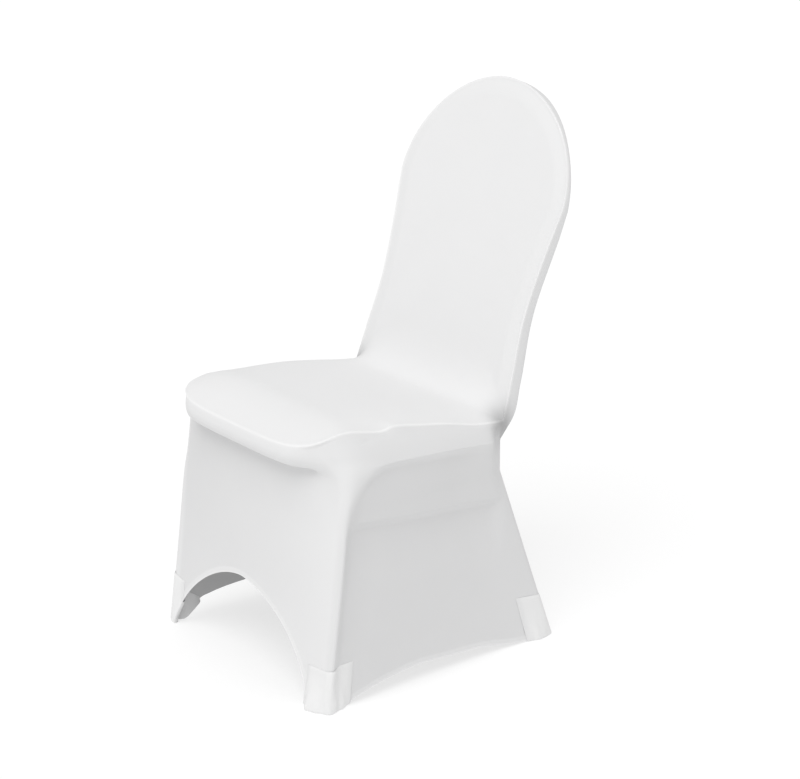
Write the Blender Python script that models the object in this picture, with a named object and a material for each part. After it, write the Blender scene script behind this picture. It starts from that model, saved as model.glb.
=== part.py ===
"""Fitted stretch-knit cover with a rounded back, a seat, and four foot pockets.

The cover is one closed skin in space, cut along its seams into a centre panel, a rear panel and
two side panels. Each panel is a grid of points on the skin, and each gets the cloth's thickness
on its inner side. Metres, +Z up, the front faces -Y, and X is across.
"""

import bpy
import numpy as np

# Cloth
CLOTH = 0.0016
POCKET_CLOTH = 0.0012
SEAM_GAP = 0.0003
POCKET_GAP = 0.0005
SEAM_TWIST = 0.5

# The middle of the whole depth, in the y that the sizes below are measured in
MIDDLE_Y = 0.0493

# Legs of the skirt: where its four corner seams run
CORNER_RADIUS = 0.0115
HEM_LOW = 0.0027
FRONT_FOOT_X, FRONT_FOOT_Y = 0.2320, -0.2375
LEG_TOP_X, LEG_TOP_Y, LEG_TOP_Z = 0.2300, -0.1845, 0.4000
REAR_FOOT_X, REAR_FOOT_Y = 0.2265, 0.2500
KNEE_X, KNEE_Y, KNEE_Z = 0.1985, 0.1500, 0.3183

# Back
BACK_BASE_Y, BACK_BASE_Z = 0.1432, 0.3781
RECLINE = np.radians(18.77)
BACK_SAG = 0.0037
SHOULDER_Z, TOP_Z = 0.7500, 0.9320
ARCH_EXPONENT = 1.9
ARCH_SPLIT = np.radians(42)
BACK_DEPTH = 0.032
BACK_FORWARD, EDGE_ROUNDING = 0.004, 0.030
STRIP_SHARE, STRIP_ROUNDING, DOME_REACH = 0.86, 0.012, 0.100

# Seat
SEAT_FRONT_Y, SEAT_CORNER_Y, SEAT_REAR_Z = -0.2468, -0.1675, 0.4070
SEAT_FRONT_HALF = 0.1921
SEAT_CORNER_EXPONENT = 4.1
SEAT_START = 0.9965
SEAT_CROWN = 0.019
SEAT_FILLET, FILLET_REACH = 0.012, 0.030
CROWN_START = 0.080
SHOULDER_BULGE = np.array([0.0040, -0.0040, 0.0010])
SIDE_SWELL = np.array([0.0040, 0.0, 0.0030])

# Skirt
FRONT_SWELL, SWELL_START = 0.033, 0.100
REAR_BRIDGE = 0.024
WAIST_SETTLE, WAIST_HEIGHT = 0.8, 0.050
RECESS, RECESS_START, RECESS_WIDTH, RECESS_RADIUS = 0.0055, 0.004, 0.013, 0.070
RECESS_END, RECESS_FADE = 0.012, 0.035
CREASE, CREASE_HALF_WIDTH = 0.0015, 0.008
CREASE_Y, CREASE_Z, CREASE_SLOPE = -0.173, 0.3045, -0.108
RAIL_OUT, RAIL_START, RAIL_RISE = 0.013, 0.220, 0.140
ROW_ARCH = 0.008
HEM_BLEND_Z = 0.26

# Grid
HALF_COLUMNS = 11
SIDE_COLUMNS = 16
BACK_ROWS = 9
ARCH_ROWS = 5
SHOULDER_ROWS = 6
RIM_CLEAR = 0.007
STRIP_LEAN = 0.12

# Rows of the skirt, from the hem to the rail: height at the front corner and at the rear corner
LEVELS = (
    (0.000, 0.000),
    (0.030, 0.030),
    (0.078, 0.078),
    (0.135, 0.128),
    (0.195, 0.178),
    (0.250, 0.226),
    (0.288, 0.256),
    (0.302, 0.268),
    (0.316, 0.280),
    (0.348, 0.318),
    (0.378, 0.350),
    (0.400, 0.3781),
)

# Half the back's width: height, half width
BACK_HALF_WIDTH = (
    (0.378, 0.2057),
    (0.471, 0.1979),
    (0.564, 0.1899),
    (0.657, 0.1973),
    (0.750, 0.2117),
)

# Depth of the strip that wraps the back's rim: height, depth
RIM_DEPTH = (
    (0.378, 0.009),
    (0.412, 0.025),
    (0.470, 0.027),
    (0.600, 0.023),
    (0.700, 0.022),
    (0.770, 0.015),
    (0.850, 0.014),
    (0.890, 0.021),
    (0.932, 0.031),
)

# Seam round the seat: y, height
SEAT_SEAM = (
    (-0.2470, 0.4330),
    (-0.2050, 0.4480),
    (-0.1750, 0.4530),
    (-0.1300, 0.4490),
    (-0.0760, 0.4440),
    (-0.0300, 0.4380),
    (0.0300, 0.4270),
    (0.1000, 0.4140),
    (0.1530, 0.4070),
)

# Rail line over the side's recess: y, height
RAIL_LINE = (
    (-0.1850, 0.4050),
    (-0.0970, 0.4050),
    (-0.0060, 0.3980),
    (0.0540, 0.3920),
    (0.1000, 0.3830),
    (0.1500, 0.3700),
)

# Hem of each side: y, height
HEM_RIGHT = (
    (-0.2400, HEM_LOW),
    (-0.1800, HEM_LOW),
    (-0.1330, 0.0110),
    (-0.0970, 0.0210),
    (-0.0520, 0.0290),
    (0.0220, 0.0240),
    (0.1000, 0.0180),
    (0.1590, 0.0060),
    (0.1900, HEM_LOW),
    (0.2600, HEM_LOW),
)
HEM_LEFT = (
    (-0.2400, HEM_LOW),
    (-0.2180, HEM_LOW),
    (-0.1990, 0.0130),
    (-0.1790, 0.0250),
    (-0.1350, 0.0340),
    (-0.0870, 0.0380),
    (0.0000, 0.0350),
    (0.0900, 0.0240),
    (0.1590, 0.0080),
    (0.1900, HEM_LOW),
    (0.2600, HEM_LOW),
)

# Hem arches between the feet: x of the highest point, height, left foot, right foot, exponent,
# and how many columns of the grid lie on the left foot and on the right foot
FRONT_ARCH = {"apex": -0.028, "height": 0.144, "left": -0.212, "right": 0.175,
              "exponent": 1.66, "left_columns": 2, "right_columns": 4}
REAR_ARCH = {"apex": 0.000, "height": 0.136, "left": -0.168, "right": 0.168,
             "exponent": 1.66, "left_columns": 4, "right_columns": 4}

# Boxing under the seat's front edge: across, outward, rise
BOXING = (
    (0.00, 0.0000, 0.00),
    (0.55, 0.0000, -0.07),
    (0.97, 0.0005, 0.05),
    (1.00, 0.0065, 0.30),
    (1.00, 0.0080, 0.60),
    (1.00, 0.0045, 0.86),
    (1.00, 0.0000, 1.00),
)

# Foot pockets: side (1 right, -1 left), end (-1 front, 1 rear), width across, length along,
# height at the ends, height at the corner, height of the inner wall, and how far the toe stands out
POCKETS = {
    "pocket_front_right": (1, -1, 0.0560, 0.0500, 0.079, 0.073, 0.034, 0.015),
    "pocket_front_left": (-1, -1, 0.0330, 0.0330, 0.088, 0.082, 0.040, 0.005),
    "pocket_rear_right": (1, 1, 0.0500, 0.0560, 0.086, 0.080, 0.034, 0.005),
    "pocket_rear_left": (-1, 1, 0.0500, 0.0560, 0.086, 0.080, 0.034, 0.005),
}
TOE_HEIGHT, TOE_MIDDLE, TOE_SPREAD = 0.060, 0.56, 1.8
POCKET_INSET, SOLE_TUCK, COLUMN_CLEAR = 0.0034, 0.0012, 0.004

CLOTH_COLOUR = (0.86, 0.86, 0.86, 1.0)
POCKET_COLOUR = (0.90, 0.90, 0.90, 1.0)
ROUGHNESS = 0.8


def lerp(start, end, share):
    return start + (end - start) * share


def smooth(value):
    """Rises softly from 0 to 1 as the value goes from 0 to 1."""
    value = np.clip(value, 0.0, 1.0)
    return value * value * (3.0 - 2.0 * value)


def through(table, at):
    """A smooth curve through the table's rows, read at the given places."""
    places, values = np.array(table).T
    slopes = np.gradient(values, places)
    at = np.clip(at, places[0], places[-1])
    k = np.clip(np.searchsorted(places, at) - 1, 0, len(places) - 2)
    width = places[k + 1] - places[k]
    t = (at - places[k]) / width
    return (
        (2 * t**3 - 3 * t**2 + 1) * values[k]
        + (t**3 - 2 * t**2 + t) * width * slopes[k]
        + (3 * t**2 - 2 * t**3) * values[k + 1]
        + (t**3 - t**2) * width * slopes[k + 1]
    )


def points(x, y, z):
    return np.stack(np.broadcast_arrays(x, y, z), axis=-1).astype(float)


def round_over(distance, radius=CORNER_RADIUS):
    """How far a face stands out of its corner seam, which lies halfway round the corner."""
    reach = radius * np.sqrt(0.5)
    d = np.clip(distance, 0.0, reach)
    return np.sqrt(radius**2 - (reach - d) ** 2) - reach


# Columns across the centre and rear panels, and along the side panels
half = 1.0 - (np.arange(HALF_COLUMNS + 1) / HALF_COLUMNS) ** 1.3
XI = np.concatenate([-half, half[-2::-1]])
along = np.arange(SIDE_COLUMNS + 1) / SIDE_COLUMNS
SIDE = along - 0.72 * np.sin(2 * np.pi * along) / (2 * np.pi)
RAIL_ROW = len(LEVELS) - 1


def front_leg(z):
    share = z / LEG_TOP_Z
    return lerp(FRONT_FOOT_X, LEG_TOP_X, share), lerp(FRONT_FOOT_Y, LEG_TOP_Y, share)


def rear_leg(z):
    lower, upper = z / KNEE_Z, (z - KNEE_Z) / (BACK_BASE_Z - KNEE_Z)
    waist_x, waist_y = BACK_HALF_WIDTH[0][1], BACK_BASE_Y
    x = np.where(z < KNEE_Z, lerp(REAR_FOOT_X, KNEE_X, lower), lerp(KNEE_X, waist_x, upper))
    y = np.where(z < KNEE_Z, lerp(REAR_FOOT_Y, KNEE_Y, lower), lerp(KNEE_Y, waist_y, upper))
    return x, y


def back_y(z):
    """The plane of the back's rim seam, with its slight sag."""
    rise = z - BACK_BASE_Z
    return BACK_BASE_Y + rise * np.tan(RECLINE) - BACK_SAG * np.sin(
        np.pi * rise / (TOP_Z - BACK_BASE_Z)
    )


def arch_point(angle):
    """Half width and height of the rounded top, from its shoulder (0) to its top (90 degrees)."""
    width = BACK_HALF_WIDTH[-1][1] * np.cos(angle) ** (2 / ARCH_EXPONENT)
    return width, SHOULDER_Z + (TOP_Z - SHOULDER_Z) * np.sin(angle) ** (2 / ARCH_EXPONENT)


def rim_distance(x, z):
    """Distance to the back's rim, measured in the back's own plane."""
    reach = BACK_HALF_WIDTH[-1][1]
    up = np.maximum(z - SHOULDER_Z, 0.0)
    rho = (np.abs(x / reach) ** ARCH_EXPONENT + (up / (TOP_Z - SHOULDER_Z)) ** ARCH_EXPONENT) ** (
        1 / ARCH_EXPONENT
    )
    rho = np.maximum(rho, 1e-6)
    arch = (1 - rho) / rho * np.hypot(x, up)
    straight = through(BACK_HALF_WIDTH, z) - np.abs(x)
    return np.maximum(np.where(z > SHOULDER_Z, arch, straight), 0.0)


def on_back(x, z, rearward):
    """A point off the plane of the back's rim, along its normal."""
    return points(x, back_y(z) + rearward * np.cos(RECLINE), z - rearward * np.sin(RECLINE))


def seat_front(xi):
    """The seam round the seat's front, from one side over the front edge to the other."""
    share = np.abs(xi) * SEAT_START
    y = SEAT_CORNER_Y - (SEAT_CORNER_Y - SEAT_FRONT_Y) * (1 - share**SEAT_CORNER_EXPONENT) ** (
        1 / SEAT_CORNER_EXPONENT
    )
    return points(SEAT_FRONT_HALF * SEAT_START * xi, y, through(SEAT_SEAM, y))


def seat_side():
    """The seam along the seat's side, from the front corner to the back."""
    start = seat_front(np.array([1.0]))[0]
    end_y = back_y(SEAT_REAR_Z)
    y = lerp(start[1], end_y, SIDE)
    wide = through(BACK_HALF_WIDTH, SEAT_REAR_Z)
    x = start[0] + (wide - start[0]) * np.sin(SIDE * np.pi / 2)
    z = through(SEAT_SEAM, y)
    z[-1] = SEAT_REAR_Z
    return points(x, y, z)


def shoulder_shares():
    return np.arange(1, SHOULDER_ROWS + 1) / SHOULDER_ROWS


def above_hem(level, hem_z):
    """Height of a row: its level, squeezed up by the hem below HEM_BLEND_Z."""
    return np.where(level < HEM_BLEND_Z, hem_z + level * (1 - hem_z / HEM_BLEND_Z), level)


def front_seam():
    """The seam up the front leg, round the boxing, to the seat's seam."""
    z = above_hem(np.array([level for level, _ in LEVELS]), HEM_LOW)
    leg = points(*front_leg(z), z)
    start = seat_side()[0]
    share = shoulder_shares()[:, None]
    upper = lerp(leg[-1], start, share) + np.sin(np.pi * share) * SHOULDER_BULGE
    upper[-1] = start
    return np.concatenate([leg, upper])


def rear_seam():
    """The seam up the rear leg to the waist, and up the back's rim to the seat's seam."""
    z = above_hem(np.array([level for _, level in LEVELS]), HEM_LOW)
    leg = points(*rear_leg(z), z)
    rise = lerp(BACK_BASE_Z, SEAT_REAR_Z, shoulder_shares())
    rim = on_back(through(BACK_HALF_WIDTH, rise), rise, 0.0)
    rim[-1] = seat_side()[-1]
    return np.concatenate([leg, rim])


def back_side_seam():
    """The rim seam from the seat up to where the arch takes over."""
    straight = np.linspace(SEAT_REAR_Z, SHOULDER_Z, BACK_ROWS)
    x, z = arch_point(np.linspace(0.0, ARCH_SPLIT, ARCH_ROWS + 1)[1:])
    z = np.concatenate([straight, z])
    x = np.concatenate([through(BACK_HALF_WIDTH, straight), x])
    seam = on_back(x, z, 0.0)
    seam[0] = seat_side()[-1]
    return seam


def back_top_seam():
    """The rim seam over the top, a point for each column."""
    share = np.linspace(-1.0, 1.0, len(XI))
    x, z = arch_point(np.pi / 2 - np.abs(share) * (np.pi / 2 - ARCH_SPLIT))
    return on_back(np.sign(share) * x, z, 0.0)


def hem_columns(arch, foot_x):
    """Hem of the front or rear skirt: flat on the feet, and a superellipse arch between them.
    Its places across are shares of the half width."""
    first = arch["left_columns"]
    last = len(XI) - 1 - arch["right_columns"]
    x = XI * foot_x
    z = np.full(len(XI), HEM_LOW)
    angle = np.linspace(np.pi, 0.0, last - first + 1)
    power = 2 / arch["exponent"]
    reach = np.where(angle > np.pi / 2, arch["apex"] - arch["left"], arch["right"] - arch["apex"])
    x[first : last + 1] = arch["apex"] + reach * np.sign(np.cos(angle)) * np.abs(np.cos(angle)) ** power
    rise = (arch["height"] - HEM_LOW) * np.abs(np.sin(angle)) ** power
    z[first : last + 1] = HEM_LOW + rise
    return x / foot_x, z


def skirt_place(level, seam_x, hem_xi, hem_z):
    """Where one row of a skirt lies: the hem's places low down, even columns higher up."""
    x = seam_x * lerp(hem_xi, XI, smooth(level / HEM_BLEND_Z))
    return x, above_hem(level, hem_z)


def front_face(x, z):
    """The front skirt: flat between the legs, and swelling out under the boxing."""
    seam_x, seam_y = front_leg(z)
    swell = FRONT_SWELL * smooth((z - SWELL_START) / (LEG_TOP_Z - SWELL_START))
    inside = np.abs(x / seam_x)
    return points(x, seam_y - round_over(seam_x - np.abs(x)) - swell * (1 - inside**3), z)


def rear_face(x, z):
    """The rear skirt: flat at the hem, bridging the waist higher up."""
    seam_x, seam_y = rear_leg(z)
    bridge = REAR_BRIDGE * smooth(z / BACK_BASE_Z)
    inside = np.abs(x / seam_x)
    return points(x, seam_y + round_over(seam_x - np.abs(x)) + bridge * (1 - inside**2), z)


def recess(y, z):
    """How far the side is drawn in below its rail and behind its front leg."""
    _, front_y = front_leg(z)
    _, rear_y = rear_leg(z)
    across = y - front_y
    below = through(RAIL_LINE, y) - z
    corner = RECESS_RADIUS - np.hypot(
        np.maximum(RECESS_RADIUS - across, 0.0), np.maximum(RECESS_RADIUS - below, 0.0)
    )
    inside = np.where((across < RECESS_RADIUS) & (below < RECESS_RADIUS), corner, np.minimum(across, below))
    return (
        RECESS
        * smooth((inside - RECESS_START) / RECESS_WIDTH)
        * smooth((rear_y - RECESS_END - y) / RECESS_FADE)
    )


def side_face(y, z):
    """The side between the front and the rear leg, seen on the right."""
    front_x, front_y = front_leg(z)
    rear_x, rear_y = rear_leg(z)
    share = (y - front_y) / (rear_y - front_y)
    ends = round_over(y - front_y) + round_over(rear_y - y) - round_over(np.array(1.0))
    rail = RAIL_OUT * smooth((z - RAIL_START) / RAIL_RISE) * smooth((1 - share) / 0.16) * smooth(share / 0.6)
    from_crease = (z - CREASE_Z - CREASE_SLOPE * (y - CREASE_Y)) / CREASE_HALF_WIDTH
    crease = CREASE * np.exp(-(from_crease**2)) * smooth((0.13 - y) / 0.08) * smooth((y - front_y) / 0.03)
    return points(lerp(front_x, rear_x, share) + ends + rail - recess(y, z) - crease, y, z)


def boxing_rows(lower, upper):
    """From the top of the front skirt round the boxing to the seat's front edge."""
    straight = np.abs(XI)[:, None] ** 12
    normal = points(
        np.sign(XI) * np.abs(XI * SEAT_START) ** (SEAT_CORNER_EXPONENT - 1) / SEAT_FRONT_HALF,
        -((1 - np.abs(XI * SEAT_START) ** SEAT_CORNER_EXPONENT) ** (1 - 1 / SEAT_CORNER_EXPONENT))
        / (SEAT_CORNER_Y - SEAT_FRONT_Y),
        0.0,
    )
    normal /= np.linalg.norm(normal, axis=1)[:, None]
    table = np.array(BOXING)
    rows = []
    for share in shoulder_shares()[:-1]:
        across, outward, rise = (
            np.interp(share, np.linspace(0, 1, len(table)), column) for column in table.T
        )
        round_it = lerp(lower, upper, across) + normal * outward
        round_it[:, 2] = lerp(lower[:, 2], upper[:, 2], rise)
        bulge = np.sin(np.pi * share) * points(np.sign(XI), 1.0, 1.0) * SHOULDER_BULGE
        rows.append(lerp(round_it, lerp(lower, upper, share) + bulge, straight))
    return rows


def seat_rows(seam):
    """From the row after the front edge to the foot of the back."""
    front = seat_front(XI)
    start_y = seam[0, 1]
    shape = (start_y - front[:, 1]) / (start_y - SEAT_FRONT_Y)
    bow = start_y - SEAT_FRONT_Y
    rows = [front]
    for share, (x_end, y_end, _) in zip(SIDE[1:], seam[1:]):
        y = y_end - bow * (1 - share) ** 2 * shape
        crown = SEAT_CROWN * (1 - XI**6) * smooth((y - SEAT_FRONT_Y) / CROWN_START)
        fillet = SEAT_FILLET * np.exp(-(seam[-1, 1] - y) / FILLET_REACH) * (1 - XI**4)
        rows.append(points(XI * x_end, y - 0.6 * fillet, through(SEAT_SEAM, y) + crown + fillet))
    rows[-1][[0, -1]] = seam[-1] * [[-1, 1, 1], [1, 1, 1]]
    return rows


def back_places():
    """Even places over the back, row by row, between the seat's row, the sides and the top."""
    side, top = back_side_seam(), back_top_seam()
    bottom = points(XI * side[0, 0], side[0, 1], side[0, 2])
    u = ((XI + 1) / 2)[None, :, None]
    steps = np.linalg.norm(np.diff(side, axis=0), axis=1)
    v = (np.concatenate([[0.0], np.cumsum(steps)]) / steps.sum())[:, None, None]
    left, right = (side * [-1, 1, 1])[:, None], side[:, None]
    edges = lerp(bottom[None], top[None], v) + lerp(left, right, u)
    return edges - lerp(lerp(bottom[0], bottom[-1], u), lerp(top[0], top[-1], u), v)


def clear_of_rim(x, z):
    """Moves places that lie closer to the rim than RIM_CLEAR further into the back."""
    short = np.maximum(RIM_CLEAR - rim_distance(x, z), 0.0)
    across, up = x, z - SHOULDER_Z + 0.05
    length = np.hypot(across, up)
    return x - short * across / length, z - short * up / length


def centre_panel():
    seam = front_seam()
    hem_xi, hem_z = hem_columns(FRONT_ARCH, seam[0, 0])
    rows = []
    for level, seam_point in zip((front for front, _ in LEVELS), seam):
        x, z = skirt_place(level, seam_point[0], hem_xi, hem_z)
        row = front_face(x, z)
        row[[0, -1]] = seam_point * [[-1, 1, 1], [1, 1, 1]]
        rows.append(row)
    side = seat_side()
    seat = seat_rows(side)
    rows += boxing_rows(rows[-1], seat[0])
    for row, seam_point in zip(rows[RAIL_ROW + 1 :], seam[RAIL_ROW + 1 :]):
        row[[0, -1]] = seam_point * [[-1, 1, 1], [1, 1, 1]]
    rows += seat
    places = back_places()[1:]
    x, z = places[..., 0].copy(), places[..., 2].copy()
    x[:-1, 1:-1], z[:-1, 1:-1] = clear_of_rim(x[:-1, 1:-1], z[:-1, 1:-1])
    inside = smooth(rim_distance(x, z) / EDGE_ROUNDING)
    fillet = SEAT_FILLET * np.exp(-(z - SEAT_REAR_Z) / FILLET_REACH) * (1 - XI**4)
    back = on_back(x, z, -BACK_FORWARD * inside - fillet)
    return np.concatenate([np.stack(rows), back])


def rear_panel():
    seam = rear_seam()
    hem_xi, hem_z = hem_columns(REAR_ARCH, seam[0, 0])
    rows = []
    for level, seam_point in zip((rear for _, rear in LEVELS), seam):
        x, z = skirt_place(level, seam_point[0], hem_xi, hem_z)
        row = rear_face(x, z)
        row[[0, -1]] = seam_point * [[-1, 1, 1], [1, 1, 1]]
        rows.append(row)
    waist = rows[-1]
    places = back_places()
    for share, seam_point in zip(shoulder_shares()[:-1], seam[RAIL_ROW + 1 :]):
        rows.append(points(XI * seam_point[0], seam_point[1], seam_point[2]))
    below = np.stack(rows[RAIL_ROW + 1 :])
    places = np.concatenate([below, places])
    rim = places.copy()
    rim[:-1, 1] = lerp(places[:-1, 0], places[:-1, 1], STRIP_LEAN)
    rim[:-1, -2] = lerp(places[:-1, -1], places[:-1, -2], STRIP_LEAN)
    rim[-2, 2:-2] = lerp(places[-1, 2:-2], places[-2, 2:-2], STRIP_LEAN)
    rim[-2, 1] = lerp(places[-1, 0], places[-3, 2], STRIP_LEAN)
    rim[-2, -2] = lerp(places[-1, -1], places[-3, -3], STRIP_LEAN)
    x, z = rim[..., 0], rim[..., 2]
    strip = through(RIM_DEPTH, z)
    inner = smooth(rim_distance(x, z) / STRIP_ROUNDING)
    dome = (BACK_DEPTH - strip) * smooth(rim_distance(x, z) / DOME_REACH)
    depth = strip * lerp(STRIP_SHARE, 1.0, inner) + dome
    depth[:, [0, -1]] = 0.0
    depth[-1] = 0.0
    back = on_back(x, z, depth)
    settle = (1 - smooth((z - BACK_BASE_Z) / WAIST_HEIGHT))[..., None] * (1 - (XI**2)[None, :, None])
    waist_y = waist[:, 1] + (z - BACK_BASE_Z) * np.tan(RECLINE)
    flat = points(x, waist_y, z)
    return np.concatenate([np.stack(rows[: RAIL_ROW + 1]), lerp(back, flat, settle * WAIST_SETTLE)])


def side_panel(hem_line):
    """A side panel on the right, rows from the hem to the seat's seam, columns front to rear."""
    front, rear, top = front_seam(), rear_seam(), seat_side()
    rows = []
    for (front_z, rear_z), start, end in zip(LEVELS, front, rear):
        y = lerp(start[1], end[1], SIDE)
        arch = ROW_ARCH * np.sin(np.pi * SIDE) * smooth((front_z - 0.3) / 0.1)
        level = lerp(front_z, rear_z, SIDE) + arch
        row = side_face(y, above_hem(level, through(hem_line, y)))
        row[[0, -1]] = start, end
        rows.append(row)
    rail = rows[-1]
    swell = (1 - SIDE**4)[:, None] * SIDE_SWELL
    for share, start, end in zip(shoulder_shares(), front[RAIL_ROW + 1 :], rear[RAIL_ROW + 1 :]):
        row = lerp(rail, top, share) + np.sin(np.pi * share) * swell
        row[[0, -1]] = start, end
        rows.append(row)
    rows[-1] = top
    return np.stack(rows)


def pocket_columns(end, across, length):
    """Which of the panels' own columns a pocket covers: shares of the half width and of the side,
    and how far round the corner they lie, from -1 under the arch to 1 along the side."""
    leg, other = (front_leg, rear_leg) if end < 0 else (rear_leg, front_leg)
    foot_x, foot_y = leg(0.0)
    depth = abs(other(0.0)[1] - foot_y)
    kept = half[half * foot_x > foot_x - across + COLUMN_CLEAR]
    first = np.concatenate([[1 - across / foot_x], kept[::-1]])
    kept = SIDE[1:][SIDE[1:] * depth < length - COLUMN_CLEAR]
    second = np.concatenate([kept, [length / depth]])
    return first, second, np.concatenate([(first - 1) * foot_x / across, second * depth / length])


def pocket_path(end, columns, z):
    """Round the outside of one foot at one height: from under the arch, by the corner, along
    the side."""
    leg, face, other = (
        (front_leg, front_face, rear_leg) if end < 0 else (rear_leg, rear_face, front_leg)
    )
    seam_x, seam_y = leg(z)
    first = face(columns[0] * seam_x, z)
    second = side_face(seam_y + columns[1] * (other(z)[1] - seam_y), z)
    return np.concatenate([first, second])


def outward(path, end):
    tangent = np.gradient(path[:, :2], axis=0)
    normal = np.stack([tangent[:, 1], -tangent[:, 0], np.zeros(len(path))], axis=1)
    return -end * normal / np.linalg.norm(normal, axis=1)[:, None]


def pocket(end, across, length, high, low, inner_high, toe):
    """One foot pocket: a patch folded round the foot, down the outside, under the sole and a
    little way up the inside. Rows go that way round, columns go round the corner."""
    columns = pocket_columns(end, across, length)
    corner = len(columns[0]) - 1
    count = len(columns[2])
    stand_off = POCKET_GAP + POCKET_CLOTH
    bump = np.cos(TOE_SPREAD * (columns[2] - end * TOE_MIDDLE)) * (end * columns[2] >= 0)
    toe_way = np.array([0.0, -toe, 0.0] if end < 0 else [toe, 0.0, 0.0])

    def outside(z, tuck=0.0):
        heights = np.broadcast_to(z, count)
        path = np.stack([pocket_path(end, columns, heights[k])[k] for k in range(count)])
        path += toe_way * (bump * (1 - smooth(heights / TOE_HEIGHT)))[:, None]
        return path + outward(pocket_path(end, columns, 0.0), end) * (stand_off - tuck)

    def inside(z):
        path = pocket_path(end, columns, z)
        start = path[0] + [0.0, -end * POCKET_INSET, 0.0]
        finish = path[-1] - [POCKET_INSET, 0.0, 0.0]
        turn = np.array([start[0], finish[1], z])
        first = lerp(start, turn, np.linspace(0, 1, corner + 1)[:, None])
        second = lerp(turn, finish, np.linspace(0, 1, count - corner)[1:, None])
        return np.concatenate([first, second])

    rim, sole = outside(0.0, SOLE_TUCK), inside(0.0)
    return np.stack([
        outside(lerp(low, high, np.abs(columns[2]))),
        outside(0.030),
        outside(0.0015),
        rim,
        lerp(rim, sole, 0.5),
        sole,
        inside(inner_high * 0.5),
        inside(inner_high),
    ])


def triangles(grid, flip, split):
    """The grid's faces as indices, wound so that they face outwards. Cells left of the split
    column are cut along one diagonal and the others along its mirror image."""
    number = np.arange(grid.shape[0] * grid.shape[1]).reshape(grid.shape[:2])
    a, b = number[:-1, :-1], number[:-1, 1:]
    d, c = number[1:, :-1], number[1:, 1:]
    left = (np.arange(grid.shape[1] - 1) < split)[None, :, None]
    first = np.where(left, np.stack([a, b, d], -1), np.stack([a, b, c], -1)).reshape(-1, 3)
    second = np.where(left, np.stack([b, c, d], -1), np.stack([a, c, d], -1)).reshape(-1, 3)
    faces = np.concatenate([first, second])
    return faces[:, ::-1] if flip else faces


def face_normals(vertices, faces):
    corner = vertices[faces]
    return np.cross(corner[:, 1] - corner[:, 0], corner[:, 2] - corner[:, 0])


def shared_normals(grids, flips, splits):
    """Outward normals at the grids' points, averaged over all the cloth that meets there. They
    are longer where the cloth turns a corner, so that the thickness holds round it."""
    places = np.concatenate([grid.reshape(-1, 3) for grid in grids])
    _, index = np.unique(np.round(places / 1e-6).astype(np.int64), axis=0, return_inverse=True)
    index = index.reshape(-1)
    total = np.zeros((index.max() + 1, 3))
    weight = np.zeros(index.max() + 1)
    start = 0
    for grid, flip, split in zip(grids, flips, splits):
        vertices, faces = grid.reshape(-1, 3), triangles(grid, flip, split)
        normal = face_normals(vertices, faces)
        size = np.linalg.norm(normal, axis=1)
        for k in range(3):
            np.add.at(total, index[start + faces[:, k]], normal)
            np.add.at(weight, index[start + faces[:, k]], size)
        start += len(vertices)
    mean = total / weight[:, None]
    length = np.linalg.norm(mean, axis=1)[:, None]
    normals = (mean / length / np.clip(length, 0.72, 1.0))[index]
    parts, start = [], 0
    for grid in grids:
        parts.append(normals[start : start + grid.shape[0] * grid.shape[1]].reshape(grid.shape))
        start += grid.shape[0] * grid.shape[1]
    return parts


def unit(vectors):
    return vectors / np.linalg.norm(vectors, axis=-1, keepdims=True)


def draw_back(grid, normals):
    """Moves a panel's seams half a seam's gap into the cloth, and more where a seam twists."""
    moved = grid.copy()
    rows = np.minimum(np.arange(len(grid)), len(grid) - 2)
    columns = np.clip(np.arange(grid.shape[1]), 1, grid.shape[1] - 2)
    inside = grid[np.ix_(rows, columns)]
    for seam in (np.s_[:, 0], np.s_[:, -1], np.s_[-1]):
        line, normal = grid[seam], unit(normals[seam])
        tangent = unit(np.gradient(line, axis=0))
        inward = inside[seam] - line
        inward -= (inward * tangent).sum(-1, keepdims=True) * tangent
        inward -= (inward * normal).sum(-1, keepdims=True) * normal
        step = np.sqrt(np.maximum(1 - (normal[1:] * normal[:-1]).sum(-1), 0.0))
        turn = np.maximum(np.append(step, 0.0), np.append(0.0, step))[:, None]
        moved[seam] += unit(inward) * (SEAM_GAP / 2 + SEAM_TWIST * CLOTH * turn)
    return moved


def sheet_mesh(name, grid, normals, thickness, flip, split):
    """A closed sheet: the grid outside, the same grid one thickness further in, and its edges."""
    outer = grid.reshape(-1, 3)
    count = len(outer)
    vertices = np.concatenate([outer, outer - normals.reshape(-1, 3) * thickness])
    faces = triangles(grid, flip, split)
    number = np.arange(count).reshape(grid.shape[:2])
    rim = np.concatenate([number[0], number[1:, -1], number[-1, -2::-1], number[-2:0:-1, 0]])
    ahead = np.roll(rim, -1)
    rising = (np.round(outer[rim, 2] - outer[ahead, 2], 5) < 0)[:, None]
    first = np.where(rising, np.stack([rim, ahead + count, ahead], 1), np.stack([rim, rim + count, ahead], 1))
    second = np.where(
        rising,
        np.stack([rim, rim + count, ahead + count], 1),
        np.stack([rim + count, ahead + count, ahead], 1),
    )
    walls = np.concatenate([first, second])
    if flip:
        walls = walls[:, ::-1]
    mesh = bpy.data.meshes.new(name)
    all_faces = np.concatenate([faces, faces[:, ::-1] + count, walls])
    mesh.from_pydata(vertices.tolist(), [], all_faces.tolist())
    mesh.update()
    mesh.shade_smooth()
    mesh.set_sharp_from_angle(angle=np.radians(50))
    return mesh


def cloth_material(name, colour):
    material = bpy.data.materials.new(name)
    material.use_nodes = True
    shader = material.node_tree.nodes["Principled BSDF"]
    shader.inputs["Base Color"].default_value = colour
    shader.inputs["Roughness"].default_value = ROUGHNESS
    shader.inputs["Metallic"].default_value = 0.0
    return material


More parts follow.
